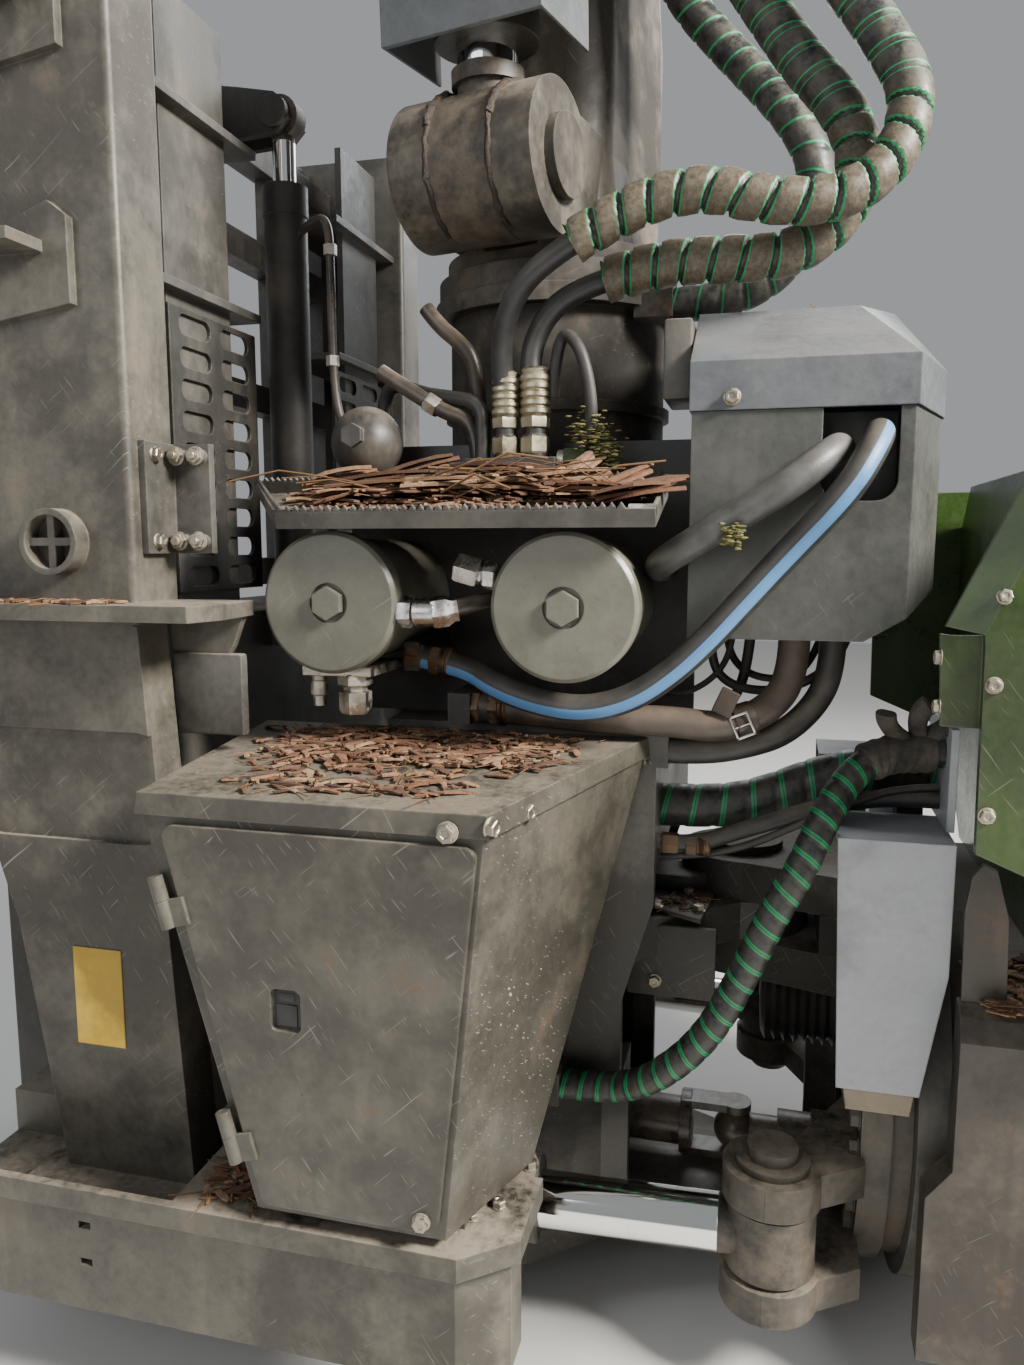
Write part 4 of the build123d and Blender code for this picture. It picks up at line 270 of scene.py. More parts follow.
class Nodes:
    """Short way to build a node material."""

    def __init__(self, name):
        self.material = bpy.data.materials.new(name)
        self.material.use_nodes = True
        self.tree = self.material.node_tree
        self.shader = self.tree.nodes["Principled BSDF"]
        self.coords = self.add("ShaderNodeTexCoord").outputs["Object"]

    def add(self, kind, inputs=(), **settings):
        node = self.tree.nodes.new(kind)
        for key, value in settings.items():
            setattr(node, key, value)
        for key, value in dict(inputs).items():
            self.put(value, node.inputs[key])
        return node

    def put(self, value, socket):
        if isinstance(value, bpy.types.NodeSocket):
            self.tree.links.new(value, socket)
        else:
            socket.default_value = (*value, 1) if socket.type == "RGBA" else value

    def places(self, scale, turn=None, warp=None):
        """Object coordinates scaled, before that bent by a warp and turned where these are given."""
        vector = self.coords
        if warp:
            shift = self.add("ShaderNodeVectorMath", {0: warp, "Scale": WARP_SHARE}, operation="SCALE")
            total = self.add("ShaderNodeVectorMath", {0: vector, 1: shift.outputs[0]}, operation="ADD")
            bent = self.add("ShaderNodeMapping", {"Vector": total.outputs[0], "Rotation": turn})
            vector = bent.outputs["Vector"]
        return self.add("ShaderNodeMapping", {"Vector": vector, "Scale": scale}).outputs["Vector"]

    def noise(self, scale, detail=3.0, rough=0.55, where=None):
        return self.add("ShaderNodeTexNoise", {"Vector": where or self.coords, "Scale": scale,
                                               "Detail": detail, "Roughness": rough}).outputs["Fac"]

    def math(self, operation, first, second=0.5, clamp=False):
        return self.add("ShaderNodeMath", {0: first, 1: second}, operation=operation,
                        use_clamp=clamp).outputs[0]

    def times(self, first, second, clamp=False):
        return self.math("MULTIPLY", first, second, clamp)

    def plus(self, first, second, clamp=False):
        return self.math("ADD", first, second, clamp)

    def part(self, vector, axis):
        return self.add("ShaderNodeSeparateXYZ", {"Vector": vector}).outputs[axis]

    def uv(self):
        return self.add("ShaderNodeUVMap").outputs["UV"]

    def step(self, value, low, high, bottom=0.0, top=1.0):
        return self.add("ShaderNodeMapRange", {"Value": value, "From Min": low, "From Max": high,
                                               "To Min": bottom, "To Max": top}).outputs["Result"]

    def mix(self, share, first, second):
        return self.add("ShaderNodeMix", {"Factor": share, "A": first, "B": second},
                        data_type="RGBA").outputs["Result"]

    def most(self, values):
        return functools.reduce(lambda first, second: self.math("MAXIMUM", first, second), values)

    def band(self, value, low, high, soft):
        """1 between low and high."""
        return self.times(self.step(value, low - soft, low + soft),
                          self.step(value, high + soft, high - soft))

    def tint(self):
        return self.add("ShaderNodeAttribute", attribute_name="tint").outputs["Fac"]

    def up(self):
        return self.part(self.add("ShaderNodeNewGeometry").outputs["Normal"], "Z")

    def edges(self, radius):
        """1 on sharp edges, 0 on faces, and the rounded normal."""
        rounded = self.add("ShaderNodeBevel", {"Radius": radius}, samples=EDGE_SAMPLES).outputs["Normal"]
        flat = self.add("ShaderNodeNewGeometry").outputs["Normal"]
        dot = self.add("ShaderNodeVectorMath", {0: rounded, 1: flat}, operation="DOT_PRODUCT")
        return self.step(dot.outputs["Value"], 0.995, 0.93), rounded

    def bump(self, height, strength, distance, normal=None):
        inputs = {"Height": height, "Strength": strength, "Distance": distance}
        if normal:
            inputs["Normal"] = normal
        return self.add("ShaderNodeBump", inputs).outputs["Normal"]

    def finish(self, colour, rough, normal=None, metal=0.0):
        inputs = {"Base Color": colour, "Roughness": rough, "Metallic": metal}
        if normal:
            inputs["Normal"] = normal
        for key, value in inputs.items():
            self.put(value, self.shader.inputs[key])
        return self.material


def paint(name, dark, light, dust=0.5, scratch=0.5, rust=0.3, rough=0.42, wear=WEAR, grime=0.5):
    """Worn machine paint: patchy colour, settled dust, streaks, scratches, rust and bare edges."""
    n = Nodes(name)
    base = n.add("ShaderNodeTexNoise", {"Vector": n.coords, "Scale": 2.6, "Detail": 3.0})
    broad = base.outputs["Fac"]
    cloudy = n.noise(9, 4, 0.66)
    fine = n.noise(90, 3, 0.65)
    streaks = n.noise(1.0, 3, 0.65, n.places((17, 17, 1.6)))
    tone = n.plus(n.times(cloudy, 0.65), n.times(fine, 0.35))
    colour = n.mix(n.step(tone, 0.34, 0.64), dark, light)
    film = n.times(n.step(streaks, 0.48, 0.72), n.step(cloudy, 0.4, 0.66))
    colour = n.mix(n.times(film, dust * 0.6), colour, DUST)
    dirt = n.times(n.step(n.math("SUBTRACT", broad, n.times(cloudy, 0.5)), 0.22, 0.33), grime)
    colour = n.mix(dirt, colour, SOIL)
    settled = n.times(n.step(n.up(), 0.4, 0.95), n.step(tone, 0.36, 0.56))
    settled = n.times(settled, min(1.0, dust * 1.4), clamp=True)
    colour = n.mix(settled, colour, DUST)
    warp = base.outputs["Color"]
    lines = n.most([n.step(n.noise(1.0, 1, 0.5, n.places(scale, turn, warp)), low, low + 0.025)
                    for scale, turn, low in SCRATCHES])
    area = n.step(broad, 0.48, 0.62, 0.08, 0.62)
    lines = n.times(n.times(lines, area), scratch, clamp=True)
    colour = n.mix(lines, colour, wear)
    rusty = n.times(n.step(cloudy, 0.60, 0.70), n.step(fine, 0.42, 0.58))
    colour = n.mix(n.times(rusty, rust), colour, RUST)
    edge, rounded = n.edges(0.0026)
    worn = n.times(edge, n.step(cloudy, 0.40, 0.60, 0.10, 0.6))
    colour = n.mix(worn, colour, shade(wear, 0.55))
    shine = n.step(tone, 0.36, 0.64, rough - 0.08, rough + 0.14)
    shine = n.plus(shine, n.times(n.plus(settled, dirt), 0.25), clamp=True)
    return n.finish(colour, shine, n.bump(fine, 0.32, 0.001, rounded))


def rubber(name, base=(0.016, 0.016, 0.016), dust=0.35, stripe=None, dust_colour=(0.2, 0.165, 0.125)):
    """Hose cover with dust; stripe is (colour, turn from, turn to) along the hose."""
    n = Nodes(name)
    colour = n.mix(n.step(n.noise(30, 5, 0.6), 0.3, 0.7), base, shade(base, 2.2))
    if stripe:
        turn = n.part(n.uv(), "X")
        for tint, low, high in stripe:
            band = n.times(n.band(turn, low, high, 0.004),
                           n.step(n.noise(26, 5, 0.6), 0.28, 0.42, 0.72, 1.0))
            colour = n.mix(band, colour, tint)
    cover = n.times(n.times(n.step(n.up(), -0.3, 0.9), n.step(n.noise(16, 8, 0.72), 0.3, 0.66)), dust)
    colour = n.mix(cover, colour, dust_colour)
    relief = n.plus(n.noise(300, 3, 0.6), n.times(n.noise(60, 4, 0.6), 0.6))
    return n.finish(colour, n.step(cover, 0, 0.5, 0.42, 0.8), n.bump(relief, 0.3, 0.0006))


def spiral_guard(name, pitch, bands, dust, tone=None, until=None):
    """Spiral hose guard: bands are green shares of the pitch; tone is a weathered band's colour.

    The weathered bands reach until a length along the hose, and the gap between them is dark.
    """
    n = Nodes(name)
    uv = n.add("ShaderNodeSeparateXYZ", {"Vector": n.uv()})
    phase = n.math("FRACT", n.plus(n.math("DIVIDE", uv.outputs["Y"], pitch), uv.outputs["X"]))
    grit = n.noise(46, 5, 0.7)
    colour = n.mix(n.step(grit, 0.35, 0.65), GUARD, shade(GUARD, 2.6))
    if until:
        weathered = n.step(uv.outputs["Y"], until + 0.03, until - 0.03)
        grain = n.noise(1.0, 3, 0.7, n.places((170, 60, 170)))
        face = n.mix(n.step(grain, 0.36, 0.66), shade(tone, 0.42), tone)
        share = n.times(weathered, n.step(phase, BAND_SHARE + 0.02, BAND_SHARE - 0.02))
        colour = n.mix(share, colour, face)
        dust = n.step(weathered, 0, 1, dust, dust * 0.5)
    cover = n.times(n.times(n.step(grit, 0.40, 0.64), n.step(n.up(), -0.9, 0.8, 0.3, 1.0)), dust)
    colour = n.mix(cover, colour, GUARD_DUST)
    edge = n.most([n.band(phase, low, high, 0.008) for low, high in bands])
    edge = n.times(edge, n.step(grit, 0.3, 0.5, 0.55, 1.0))
    colour = n.mix(edge, colour, GUARD_GREEN)
    relief = n.plus(n.times(n.noise(260, 2, 0.6), 0.5), grit)
    return n.finish(colour, n.step(cover, 0, 0.5, 0.42, 0.82), n.bump(relief, 0.4, 0.0012))


def metal(name, colour, rough, stains):
    """Bare or plated steel with brown stains."""
    n = Nodes(name)
    tone = n.mix(n.step(n.noise(25, 5, 0.6), 0.35, 0.65), colour, shade(colour, 0.72))
    mask = n.times(n.step(n.noise(34, 7, 0.72), 0.5, 0.68), stains)
    tone = n.mix(mask, tone, STAIN)
    rounded = n.edges(0.0012)[1]
    relief = n.plus(n.noise(500, 3, 0.6), n.times(n.noise(90, 4, 0.6), 0.7))
    metalness = n.step(mask, 0.0, 0.35, 1.0, 0.25)
    shine = n.plus(n.step(n.noise(60, 5, 0.6), 0.3, 0.7, rough - 0.07, rough + 0.12),
                   n.times(mask, 0.5), clamp=True)
    return n.finish(tone, shine, n.bump(relief, 0.2, 0.0005, rounded), metalness)


def rod_material(name, axis, edge, above):
    """Chrome rod whose forged eye lies past an edge along an axis."""
    n = Nodes(name)
    place = n.part(n.coords, axis)
    forged = n.step(place, edge - 0.0004, edge + 0.0004, 0.0 if above else 1.0, 1.0 if above else 0.0)
    grit = n.noise(26, 6, 0.7)
    cast = n.mix(n.step(grit, 0.38, 0.62), (0.030, 0.025, 0.020), (0.105, 0.085, 0.062))
    bright = n.mix(n.times(n.step(grit, 0.58, 0.72), 0.25), (0.80, 0.79, 0.76), (0.25, 0.20, 0.15))
    relief = n.times(grit, forged)
    return n.finish(n.mix(forged, bright, cast), n.step(forged, 0, 1, 0.08, 0.55), n.bump(relief, 0.4, 0.002),
                    n.step(forged, 0, 1, 1.0, 0.0))


def bark_material():
    n = Nodes("bark")
    tint = n.tint()
    colour = n.mix(n.step(tint, 0.0, 0.5), (0.055, 0.026, 0.015), (0.185, 0.085, 0.042))
    colour = n.mix(n.step(tint, 0.5, 1.0), colour, (0.36, 0.235, 0.14))
    grain = n.noise(1.0, 6, 0.7, n.places((240, 60, 240)))
    colour = n.mix(n.step(grain, 0.4, 0.65, 0.0, 0.55), colour, (0.06, 0.03, 0.018))
    return n.finish(colour, 0.9, n.bump(grain, 0.6, 0.002))


def needle_material():
    n = Nodes("needles")
    tint = n.tint()
    colour = n.mix(tint, (0.16, 0.085, 0.035), (0.30, 0.20, 0.09))
    return n.finish(n.mix(n.step(n.noise(60), 0.4, 0.6, 0.0, 0.4), colour, (0.07, 0.04, 0.02)), 0.75)


def moss_material():
    n = Nodes("lichen")
    colour = n.mix(n.step(n.noise(90, 4, 0.7), 0.35, 0.65), (0.045, 0.058, 0.016), (0.20, 0.17, 0.06))
    return n.finish(colour, 0.9, n.bump(n.noise(200), 0.6, 0.002))


def grease_material():
    n = Nodes("grease")
    lumps = n.noise(55, 8, 0.75)
    colour = n.mix(n.step(lumps, 0.4, 0.62), (0.012, 0.009, 0.007), (0.06, 0.038, 0.024))
    return n.finish(colour, n.step(lumps, 0.35, 0.6, 0.3, 0.85), n.bump(lumps, 0.9, 0.006))


def fabric_wrap():
    n = Nodes("cloth_wrap")
    weave = n.times(n.noise(1.0, 2, 0.5, n.places((900, 60, 60))),
                    n.noise(1.0, 2, 0.5, n.places((60, 900, 900))))
    colour = n.mix(n.step(n.noise(28, 6, 0.7), 0.35, 0.65), (0.020, 0.019, 0.017), (0.085, 0.072, 0.058))
    return n.finish(colour, 0.92, n.bump(weave, 0.7, 0.002))


GREY = paint("grey_paint", (0.040, 0.038, 0.033), (0.086, 0.081, 0.070), 0.42, scratch=0.4)
GREY_DUSTY = paint("grey_paint_dusty", (0.046, 0.042, 0.034), (0.110, 0.100, 0.078), 0.6, scratch=0.5,
                   rust=0.45)
GREY_DOOR = paint("grey_paint_scuffed", (0.056, 0.052, 0.041), (0.090, 0.083, 0.066), 0.35, scratch=0.85,
                  rust=0.5, rough=0.28)
# Painted shade: a darker copy of the grey paint for parts that lie in shade
GREY_PAINTED_SHADE = paint("grey_paint_shaded", (0.018, 0.017, 0.015), (0.040, 0.037, 0.033), 0.45, scratch=0.3)
GREY_CLEAN = paint("grey_paint_clean", (0.044, 0.046, 0.041), (0.068, 0.070, 0.064), 0.2, scratch=0.25,
                   rust=0.08, grime=0.15)
# Painted sunlight: a lighter, bluer copy of the grey paint for parts in sunlight
GREY_PAINTED_SUNLIGHT = paint("grey_paint_sunlit", (0.074, 0.080, 0.086), (0.110, 0.118, 0.128), 0.15, scratch=0.25,
                  rust=0.08, grime=0.15)
GREY_PALE = paint("grey_paint_pale", (0.270, 0.280, 0.300), (0.345, 0.355, 0.380), 0.2, scratch=0.5,
                  rust=0.2, grime=0.25)
CAST = paint("cast_casting", (0.014, 0.012, 0.009), (0.092, 0.077, 0.058), 0.55, scratch=0.25, rust=0.8,
             rough=0.5, grime=0.9)
FILTER = paint("filter_paint", (0.112, 0.111, 0.086), (0.142, 0.140, 0.110), 0.3, scratch=0.35, rust=0.12,
               rough=0.32, grime=0.15)
GREEN = paint("green_paint", (0.018, 0.042, 0.007), (0.036, 0.066, 0.013), 0.25, scratch=0.3, rust=0.12,
              rough=0.28, grime=0.35)
SHAFT = paint("shaft_paint", (0.024, 0.019, 0.015), (0.062, 0.046, 0.034), 0.4, scratch=0.4, rust=0.6,
              rough=0.28)
CAST_POST = paint("post_casting", (0.016, 0.013, 0.010), (0.125, 0.108, 0.084), 0.55, scratch=0.2, rust=0.8,
                  rough=0.46, grime=0.85)
CHEEK = paint("cheek_paint", (0.020, 0.017, 0.013), (0.056, 0.046, 0.035), 0.4, scratch=0.25, rust=0.6,
              grime=0.6)
PLATE_BROWN = paint("brown_plate", (0.050, 0.034, 0.026), (0.100, 0.070, 0.052), 0.5, scratch=0.2, rust=0.6)
STEER_ROD = rod_material("steering_rod", "X", 1.188, True)
LIFT_ROD = rod_material("lift_rod_chrome", "Z", 1.398, False)
GATE_ROD = rod_material("gate_rod_chrome", "Z", 1.385, True)
ZINC = metal("zinc", (0.62, 0.58, 0.50), 0.34, 0.5)
ZINC_DULL = metal("dull_zinc", (0.40, 0.36, 0.29), 0.42, 0.75)
ZINC_YELLOW = metal("zinc_yellow", (0.55, 0.50, 0.36), 0.36, 0.35)
BRIGHT = metal("bright_steel", (0.66, 0.65, 0.62), 0.24, 0.3)
BROWN_METAL = metal("rusty_steel", (0.22, 0.15, 0.10), 0.55, 0.9)
PADS = paint("pad_layers", (0.16, 0.125, 0.085), (0.24, 0.19, 0.13), 0.6, scratch=0.1, rust=0.5)
BLACK = rubber("black_rubber")
LATCH = rubber("latch_black", (0.010, 0.010, 0.010), 0.2)
BLACK_DUSTY = rubber("dusty_rubber", dust=0.75)
SLEEVE = rubber("grey_sleeve", (0.045, 0.046, 0.045), 0.35)
BROWN_HOSE = rubber("brown_hose", (0.038, 0.030, 0.024), 0.9, dust_colour=(0.165, 0.12, 0.085))
BLUE_HOSE = rubber("blue_striped_hose", (0.020, 0.020, 0.019), 0.30, (((0.085, 0.23, 0.46), 0.0, 0.135),))
WEATHERED = (0.118, 0.096, 0.064)
EDGES = ((0.0, 0.055), (BAND_SHARE - 0.05, BAND_SHARE))
GUARD_UPPER = spiral_guard("guard_upper", 0.0375, EDGES, 0.55, tone=WEATHERED, until=0.50)
GUARD_LOWER = spiral_guard("guard_lower", 0.0375, EDGES, 0.55, tone=WEATHERED, until=0.46)
GUARD_NEAR = spiral_guard("guard_near", 0.0265, ((0.05, 0.15), (0.19, 0.29)), 0.25)
GUARD_FAR = spiral_guard("guard_far", 0.042, ((0.05, 0.13), (0.16, 0.22)), 0.35)
GUARD_REAR = spiral_guard("guard_rear", 0.036, ((0.0, 0.09),), 0.45)
BROWN_STRAP = rubber("brown_strap", (0.028, 0.020, 0.015), 0.7, dust_colour=(0.15, 0.105, 0.07))
BARK = bark_material()
NEEDLES = needle_material()
LICHEN = moss_material()
GREASE = grease_material()
CLOTH = fabric_wrap()
BLANK = paint("yellow_plate", (0.72, 0.43, 0.03), (0.84, 0.55, 0.06), 0.15, scratch=0.2, rust=0.1,
              wear=(0.5, 0.45, 0.35))

# Finish of the CAD's own nodes
FINISHES = (
    (GREY, "frame_head gate_post_left gate_frame wear_pads hose_bracket filter_tray bearing_housing"),
    (GREY_DUSTY, "carrier_right carrier_left gate_post_right"),
    # Painted shade: the darker copy of the grey paint on parts that lie in shade
    (GREY_PAINTED_SHADE, "rear_frame gate_screens gate_barrel gate_slide lift_barrel filter_stand accumulator "
                "steel_pipes steer_barrel_right steer_barrel_left"),
    (GREY_DOOR, "cabinet_right cabinet_left door_right door_left"),
    # Painted sunlight: the lighter copy of the grey paint on the valve lid and the lift guard
    (GREY_CLEAN, "valve_cabinet"), (GREY_PAINTED_SUNLIGHT, "valve_lid lift_guard"), (GREY_PALE, "link_shrouds"),
    (CAST, "crane_foot slew_ring lift_pin link_casting link_pins bearing_ring"),
    (CAST_POST, "king_post_casting"), (CHEEK, "front_frame_stub"), (PADS, "link_pads"),
    (FILTER, "filter_rear filter_front"), (GREEN, "cover_right cover_left engine_hood"),
    (SHAFT, "driveshaft_rear driveshaft_front"), (STEER_ROD, "steer_rod_right steer_rod_left"),
    (LIFT_ROD, "lift_rod"), (GATE_ROD, "gate_rod"),
)
for material, names in FINISHES:
    for name in names.split():
        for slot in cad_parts[name].material_slots:
            slot.material = material


# ---- hoses: the routes' points are those of the part's source, in millimetres

def mm(*points):
    """Points in metres from points in millimetres."""
    return [tuple(value / 1000 for value in point) for point in points]


ROUTES = {
    "hose_boom_upper": (
        (968, -330, 1136), (1036.8, -330, 1174.2), (1130, -330, 1192), (1213, -330, 1166),
        (1298, -316, 1165), (1362, -295, 1217), (1379, -272, 1298), (1339, -256, 1375),
        (1295, -238, 1445), (1248.1, -213.6, 1515.9), (1194, -190, 1579), (1139.3, -170.2, 1664),
        (1139.3, -170.2, 1740)),
    "hose_boom_lower": (
        (1000, -262, 1104), (1071.7, -262, 1122.9), (1160, -264, 1120), (1242, -258, 1121),
        (1306, -242, 1170), (1326, -221, 1246), (1295, -204, 1320), (1246, -186, 1382),
        (1205, -164, 1451), (1164.6, -144.8, 1518.4), (1122, -128, 1588), (1074.8, -114.9, 1664),
        (1074.8, -114.9, 1740)),
    "hose_boom_rear": (
        (1077, -100, 1105), (1154, -100, 1105), (1225, -110, 1136), (1269, -118, 1201),
        (1272, -121, 1279), (1235, -110, 1347), (1190, -85, 1406), (1142, -66, 1464),
        (1091.5, -57.3, 1523.5), (1050, -54, 1590), (1022.1, -52.0, 1664), (1022.1, -52.0, 1740)),
    "hose_base_left": (
        (864, -268, 905), (864, -268, 948.8), (859, -277, 1000), (868, -297, 1046), (892, -318, 1084),
        (928.4, -330, 1114), (968, -330, 1136)),
    "hose_base_right": (
        (906, -268, 905), (906, -268, 948.8), (896, -266, 1006), (914, -263, 1057), (951, -262, 1091.1),
        (1000, -262, 1104)),
    "hose_blue_stripe": (
        (762, -330, 597), (825.9, -330, 586.5), (878, -363, 563), (939, -372, 545), (1000, -376, 539),
        (1062, -379, 557), (1114, -383, 595), (1157, -387, 638), (1200, -390, 688), (1247, -391, 742),
        (1313, -413, 815), (1340, -390, 864), (1352, -347.7, 890), (1352, -296, 890)),
    "hose_grey": (
        (1306, -296, 872), (1306, -344.6, 872), (1287, -384, 856), (1250, -401, 826), (1204, -392, 797),
        (1159, -386, 771), (1118, -376, 746), (1090, -342, 729), (1083, -295, 724), (1082, -245.7, 722),
        (1082, -200, 722)),
    "hose_brown_sleeve": (
        (832, -320, 528), (888.1, -320, 528), (945, -316, 522), (999, -313, 519), (1052, -310, 517),
        (1107, -307, 517), (1174, -299, 509), (1233, -275, 533), (1262, -262, 578.5), (1262, -262, 634)),
    "hose_black": (
        (1100, -272, 470), (1148.2, -272, 470), (1205, -265, 481), (1254, -249, 497), (1295, -229, 536),
        (1314, -220, 583), (1314, -220, 634)),
    "hose_near_spiral": (
        (960, -318, -18), (1027.7, -318, -18), (1084, -341, 13), (1131, -354, 57), (1168, -358, 104),
        (1198, -360, 162), (1224, -360, 224), (1250, -356, 285), (1282, -345, 342), (1309, -320, 408),
        (1349, -275, 462), (1399.9, -254, 482), (1458, -254, 482)),
    "hose_far_spiral": (
        (1084, -190, 372), (1155.8, -190, 372), (1227, -188, 387), (1316, -177, 426),
        (1387.4, -172, 440), (1458, -172, 440)),
    "hose_thin_pair": (
        (1084, -246, 330), (1138.3, -246, 330), (1189, -246, 351), (1244, -246, 372), (1294, -244, 392),
        (1346, -242, 406), (1402.2, -232, 412), (1458, -232, 412)),
}
ROUTES = {name: mm(*points) for name, points in ROUTES.items()}


LATER_DEPTH = 0.05


def banded(outer, pitch, depth, until=math.inf):
    """Radius of a spiral guard: overlapping bands with a groove between them, shallower later on."""
    def radius(turn, along):
        phase = (along / pitch + turn) % 1.0
        drop = depth if along < until else LATER_DEPTH
        if phase > BAND_SHARE:
            rise = min(1.0, abs(phase - (1 + BAND_SHARE) / 2) / (1 - BAND_SHARE) * 2)
            return outer * (1 - drop * (1 - 0.35 * rise ** 3))
        slope = abs(phase / BAND_SHARE - 0.35)
        return outer * (1 - drop * 0.35 * slope)
    return radius


def plain(outer):
    return lambda turn, along: outer


# Hose: outside diameter, length, material, points a run, sides, and for a guard pitch, depth, where it ends
HOSES = {
    "hose_boom_upper": (0.056, 1.030, GUARD_UPPER, 36, 48, 0.0375, 0.26, 0.50),
    "hose_boom_lower": (0.060, 0.975, GUARD_LOWER, 36, 48, 0.0375, 0.24, 0.46),
    "hose_boom_rear": (0.052, 0.850, GUARD_REAR, 24, 40, 0.036, 0.08),
    "hose_base_left": (0.030, 0.289, BLACK, 10, 24),
    "hose_base_right": (0.030, 0.254, BLACK, 10, 24),
    "hose_blue_stripe": (0.036, 0.839, BLUE_HOSE, 12, 32),
    "hose_grey": (0.038, 0.486, SLEEVE, 12, 28),
    "hose_brown_sleeve": (0.042, 0.518, BROWN_HOSE, 12, 28),
    "hose_black": (0.036, 0.320, BLACK_DUSTY, 12, 28),
    "hose_near_spiral": (0.042, 0.794, GUARD_NEAR, 24, 36, 0.0265, 0.06),
    "hose_far_spiral": (0.064, 0.385, GUARD_FAR, 24, 40, 0.042, 0.05),
    "hose_thin_pair": (0.024, 0.388, BLACK_DUSTY, 12, 24),
}
JOINT_HOSES = ("hose_near_spiral", "hose_far_spiral", "hose_thin_pair")
CRANE_HOSES = ("hose_boom_upper", "hose_boom_lower", "hose_boom_rear")
LINES, TUBES = {}, {}
for name, (diameter, length, material, resolution, sides, *bands) in HOSES.items():
    points = spline_line(ROUTES[name], resolution)
    radius = banded(diameter / 2, *bands) if bands else plain(diameter / 2)
    bm = bmesh.new()
    LINES[name] = (points, *tube(bm, points, radius, sides, from_end=(name == "hose_grey")))
    body = None if name in JOINT_HOSES + CRANE_HOSES else "rear_frame"
    TUBES[name] = from_bm(name + "_tube", bm, material, body, 60)
    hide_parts(name)


def on_hose(name, share):
    """Point and direction on a hose at a share of its length."""
    points, lengths, tangents = LINES[name]
    target = share * lengths[-1]
    for k in range(len(points) - 1):
        if lengths[k + 1] >= target:
            part = (target - lengths[k]) / max(lengths[k + 1] - lengths[k], 1e-9)
            return points[k].lerp(points[k + 1], part), tangents[k]
    return points[-1], tangents[-1]


def at(x, y, z):
    return Vector((x, y, z)) / 1000


def spots(points):
    return [at(*point) for point in points]


def crimp(bm, foot, axis, length, radius):
    """Crimped hose end: nut, hexagon and ribbed sleeve, from its foot along an axis."""
    nut = radius * 1.02
    lathe(bm, foot, axis, ((0, 0), (nut * 0.9, 0), (nut, 0.003), (nut, 0.022), (nut * 0.88, 0.025),
                           (0, 0.025)), 6)
    lathe(bm, foot, axis, ((radius * 0.7, 0.02), (radius * 0.7, 0.034), (radius * 0.98, 0.036),
                           (radius * 1.02, 0.046), (radius * 0.98, 0.05)), 6)
    ribs = [(radius * 0.8, 0.048)]
    for k in range(5):
        low = 0.052 + k * (length - 0.060) / 5
        high = low + (length - 0.060) / 5
        ribs += [(radius * 0.93, low), (radius * 1.04, low + 0.003), (radius * 1.04, high - 0.003),
                 (radius * 0.93, high)]
    ribs += [(radius * 0.99, length - 0.003), (radius * 0.84, length), (0, length)]
    lathe(bm, foot, axis, ribs, 20)


def radii(text):
    """Profile for lathe() from pairs of radius and height in millimetres."""
    return [tuple(float(value) / 1000 for value in pair.split()) for pair in text.split(",")]


# Crimps: piece, hose, material, foot, axis, length, radius
CRIMPS = (
    ("crimp_base_left", "hose_base_left", ZINC_YELLOW, (864, -268, 878), (0, 0, 1), 0.112, 0.0195),
    ("crimp_base_right", "hose_base_right", ZINC_YELLOW, (906, -268, 878), (0, 0, 1), 0.116, 0.0205),
    ("crimp_blue", "hose_blue_stripe", BROWN_METAL, (738, -330, 601), (14, 0, -2.3), 0.066, 0.0215),
    ("crimp_brown", "hose_brown_sleeve", BROWN_METAL, (820, -320, 528), (1, 0, 0), 0.062, 0.024),
    ("crimp_thin", "hose_thin_pair", BROWN_METAL, (1089, -246, 330), (1, 0, 0), 0.07, 0.015),
)
ON_HOSE = {name: [] for name in HOSES}
for piece, hose, material, foot, axis, length, radius in CRIMPS:
    bm = bmesh.new()
    crimp(bm, at(*foot), axis, length, radius)
    ON_HOSE[hose].append(from_bm(piece, bm, material, "rear_frame", 30))

# Strap with its buckle round the sleeved hose
place, way = on_hose("hose_brown_sleeve", 0.715)
bm = bmesh.new()
lathe(bm, place - way * 0.014, way, radii("20.8 0, 23.5 1, 24.2 4, 24.2 26, 23.5 29, 20.8 30"), 40)
slab(bm, place + Vector((-0.034, -0.030, 0.010)), place + Vector((-0.008, -0.024, 0.046)), 0.002, (24, "Y"))
ON_HOSE["hose_brown_sleeve"].append(from_bm("strap", bm, BROWN_STRAP, "rear_frame", 50))
bm = bmesh.new()
for low, high in (((-13, -27, -19), (13, -23.5, -16)), ((-13, -27, 11), (13, -23.5, 14)),
                  ((-13, -27, -19), (-10, -23.5, 14)), ((10, -27, -19), (13, -23.5, 14)),
                  ((-13, -26, -4), (13, -23.5, -2))):
    turn = Matrix.Rotation(math.radians(-24), 3, "Y")
    middle = (Vector(low) + Vector(high)) / 2
    half = (Vector(high) - Vector(low)) / 2
    centre = place + turn @ middle / 1000
    slab(bm, centre - half / 1000, centre + half / 1000, 0.0008, (-24, "Y"))
ON_HOSE["hose_brown_sleeve"].append(from_bm("buckle", bm, BRIGHT, "rear_frame", 40))


def wrap(bm, name, start, end, extra, seed):
    """Wrinkled cloth wound round a hose between two shares of its length."""
    random.seed(seed)
    radius = HOSES[name][0] / 2 + extra
    waves = [(random.uniform(2, 5), random.uniform(0, 6.3), random.uniform(60, 160)) for _ in range(5)]
    path = [on_hose(name, start + (end - start) * k / 40)[0] for k in range(41)]

    def reach(turn, along):
        lump = sum(math.sin(2 * math.pi * turn * round(a) + b + along * c) for a, b, c in waves) / 5
        ridge = abs(math.sin(along * 210 + 4 * math.pi * turn)) * 0.0022
        fade = min(1.0, (along + 0.003) / 0.008)
        return (radius + lump * 0.0022 + ridge) * fade

    tube(bm, path, reach, 48)


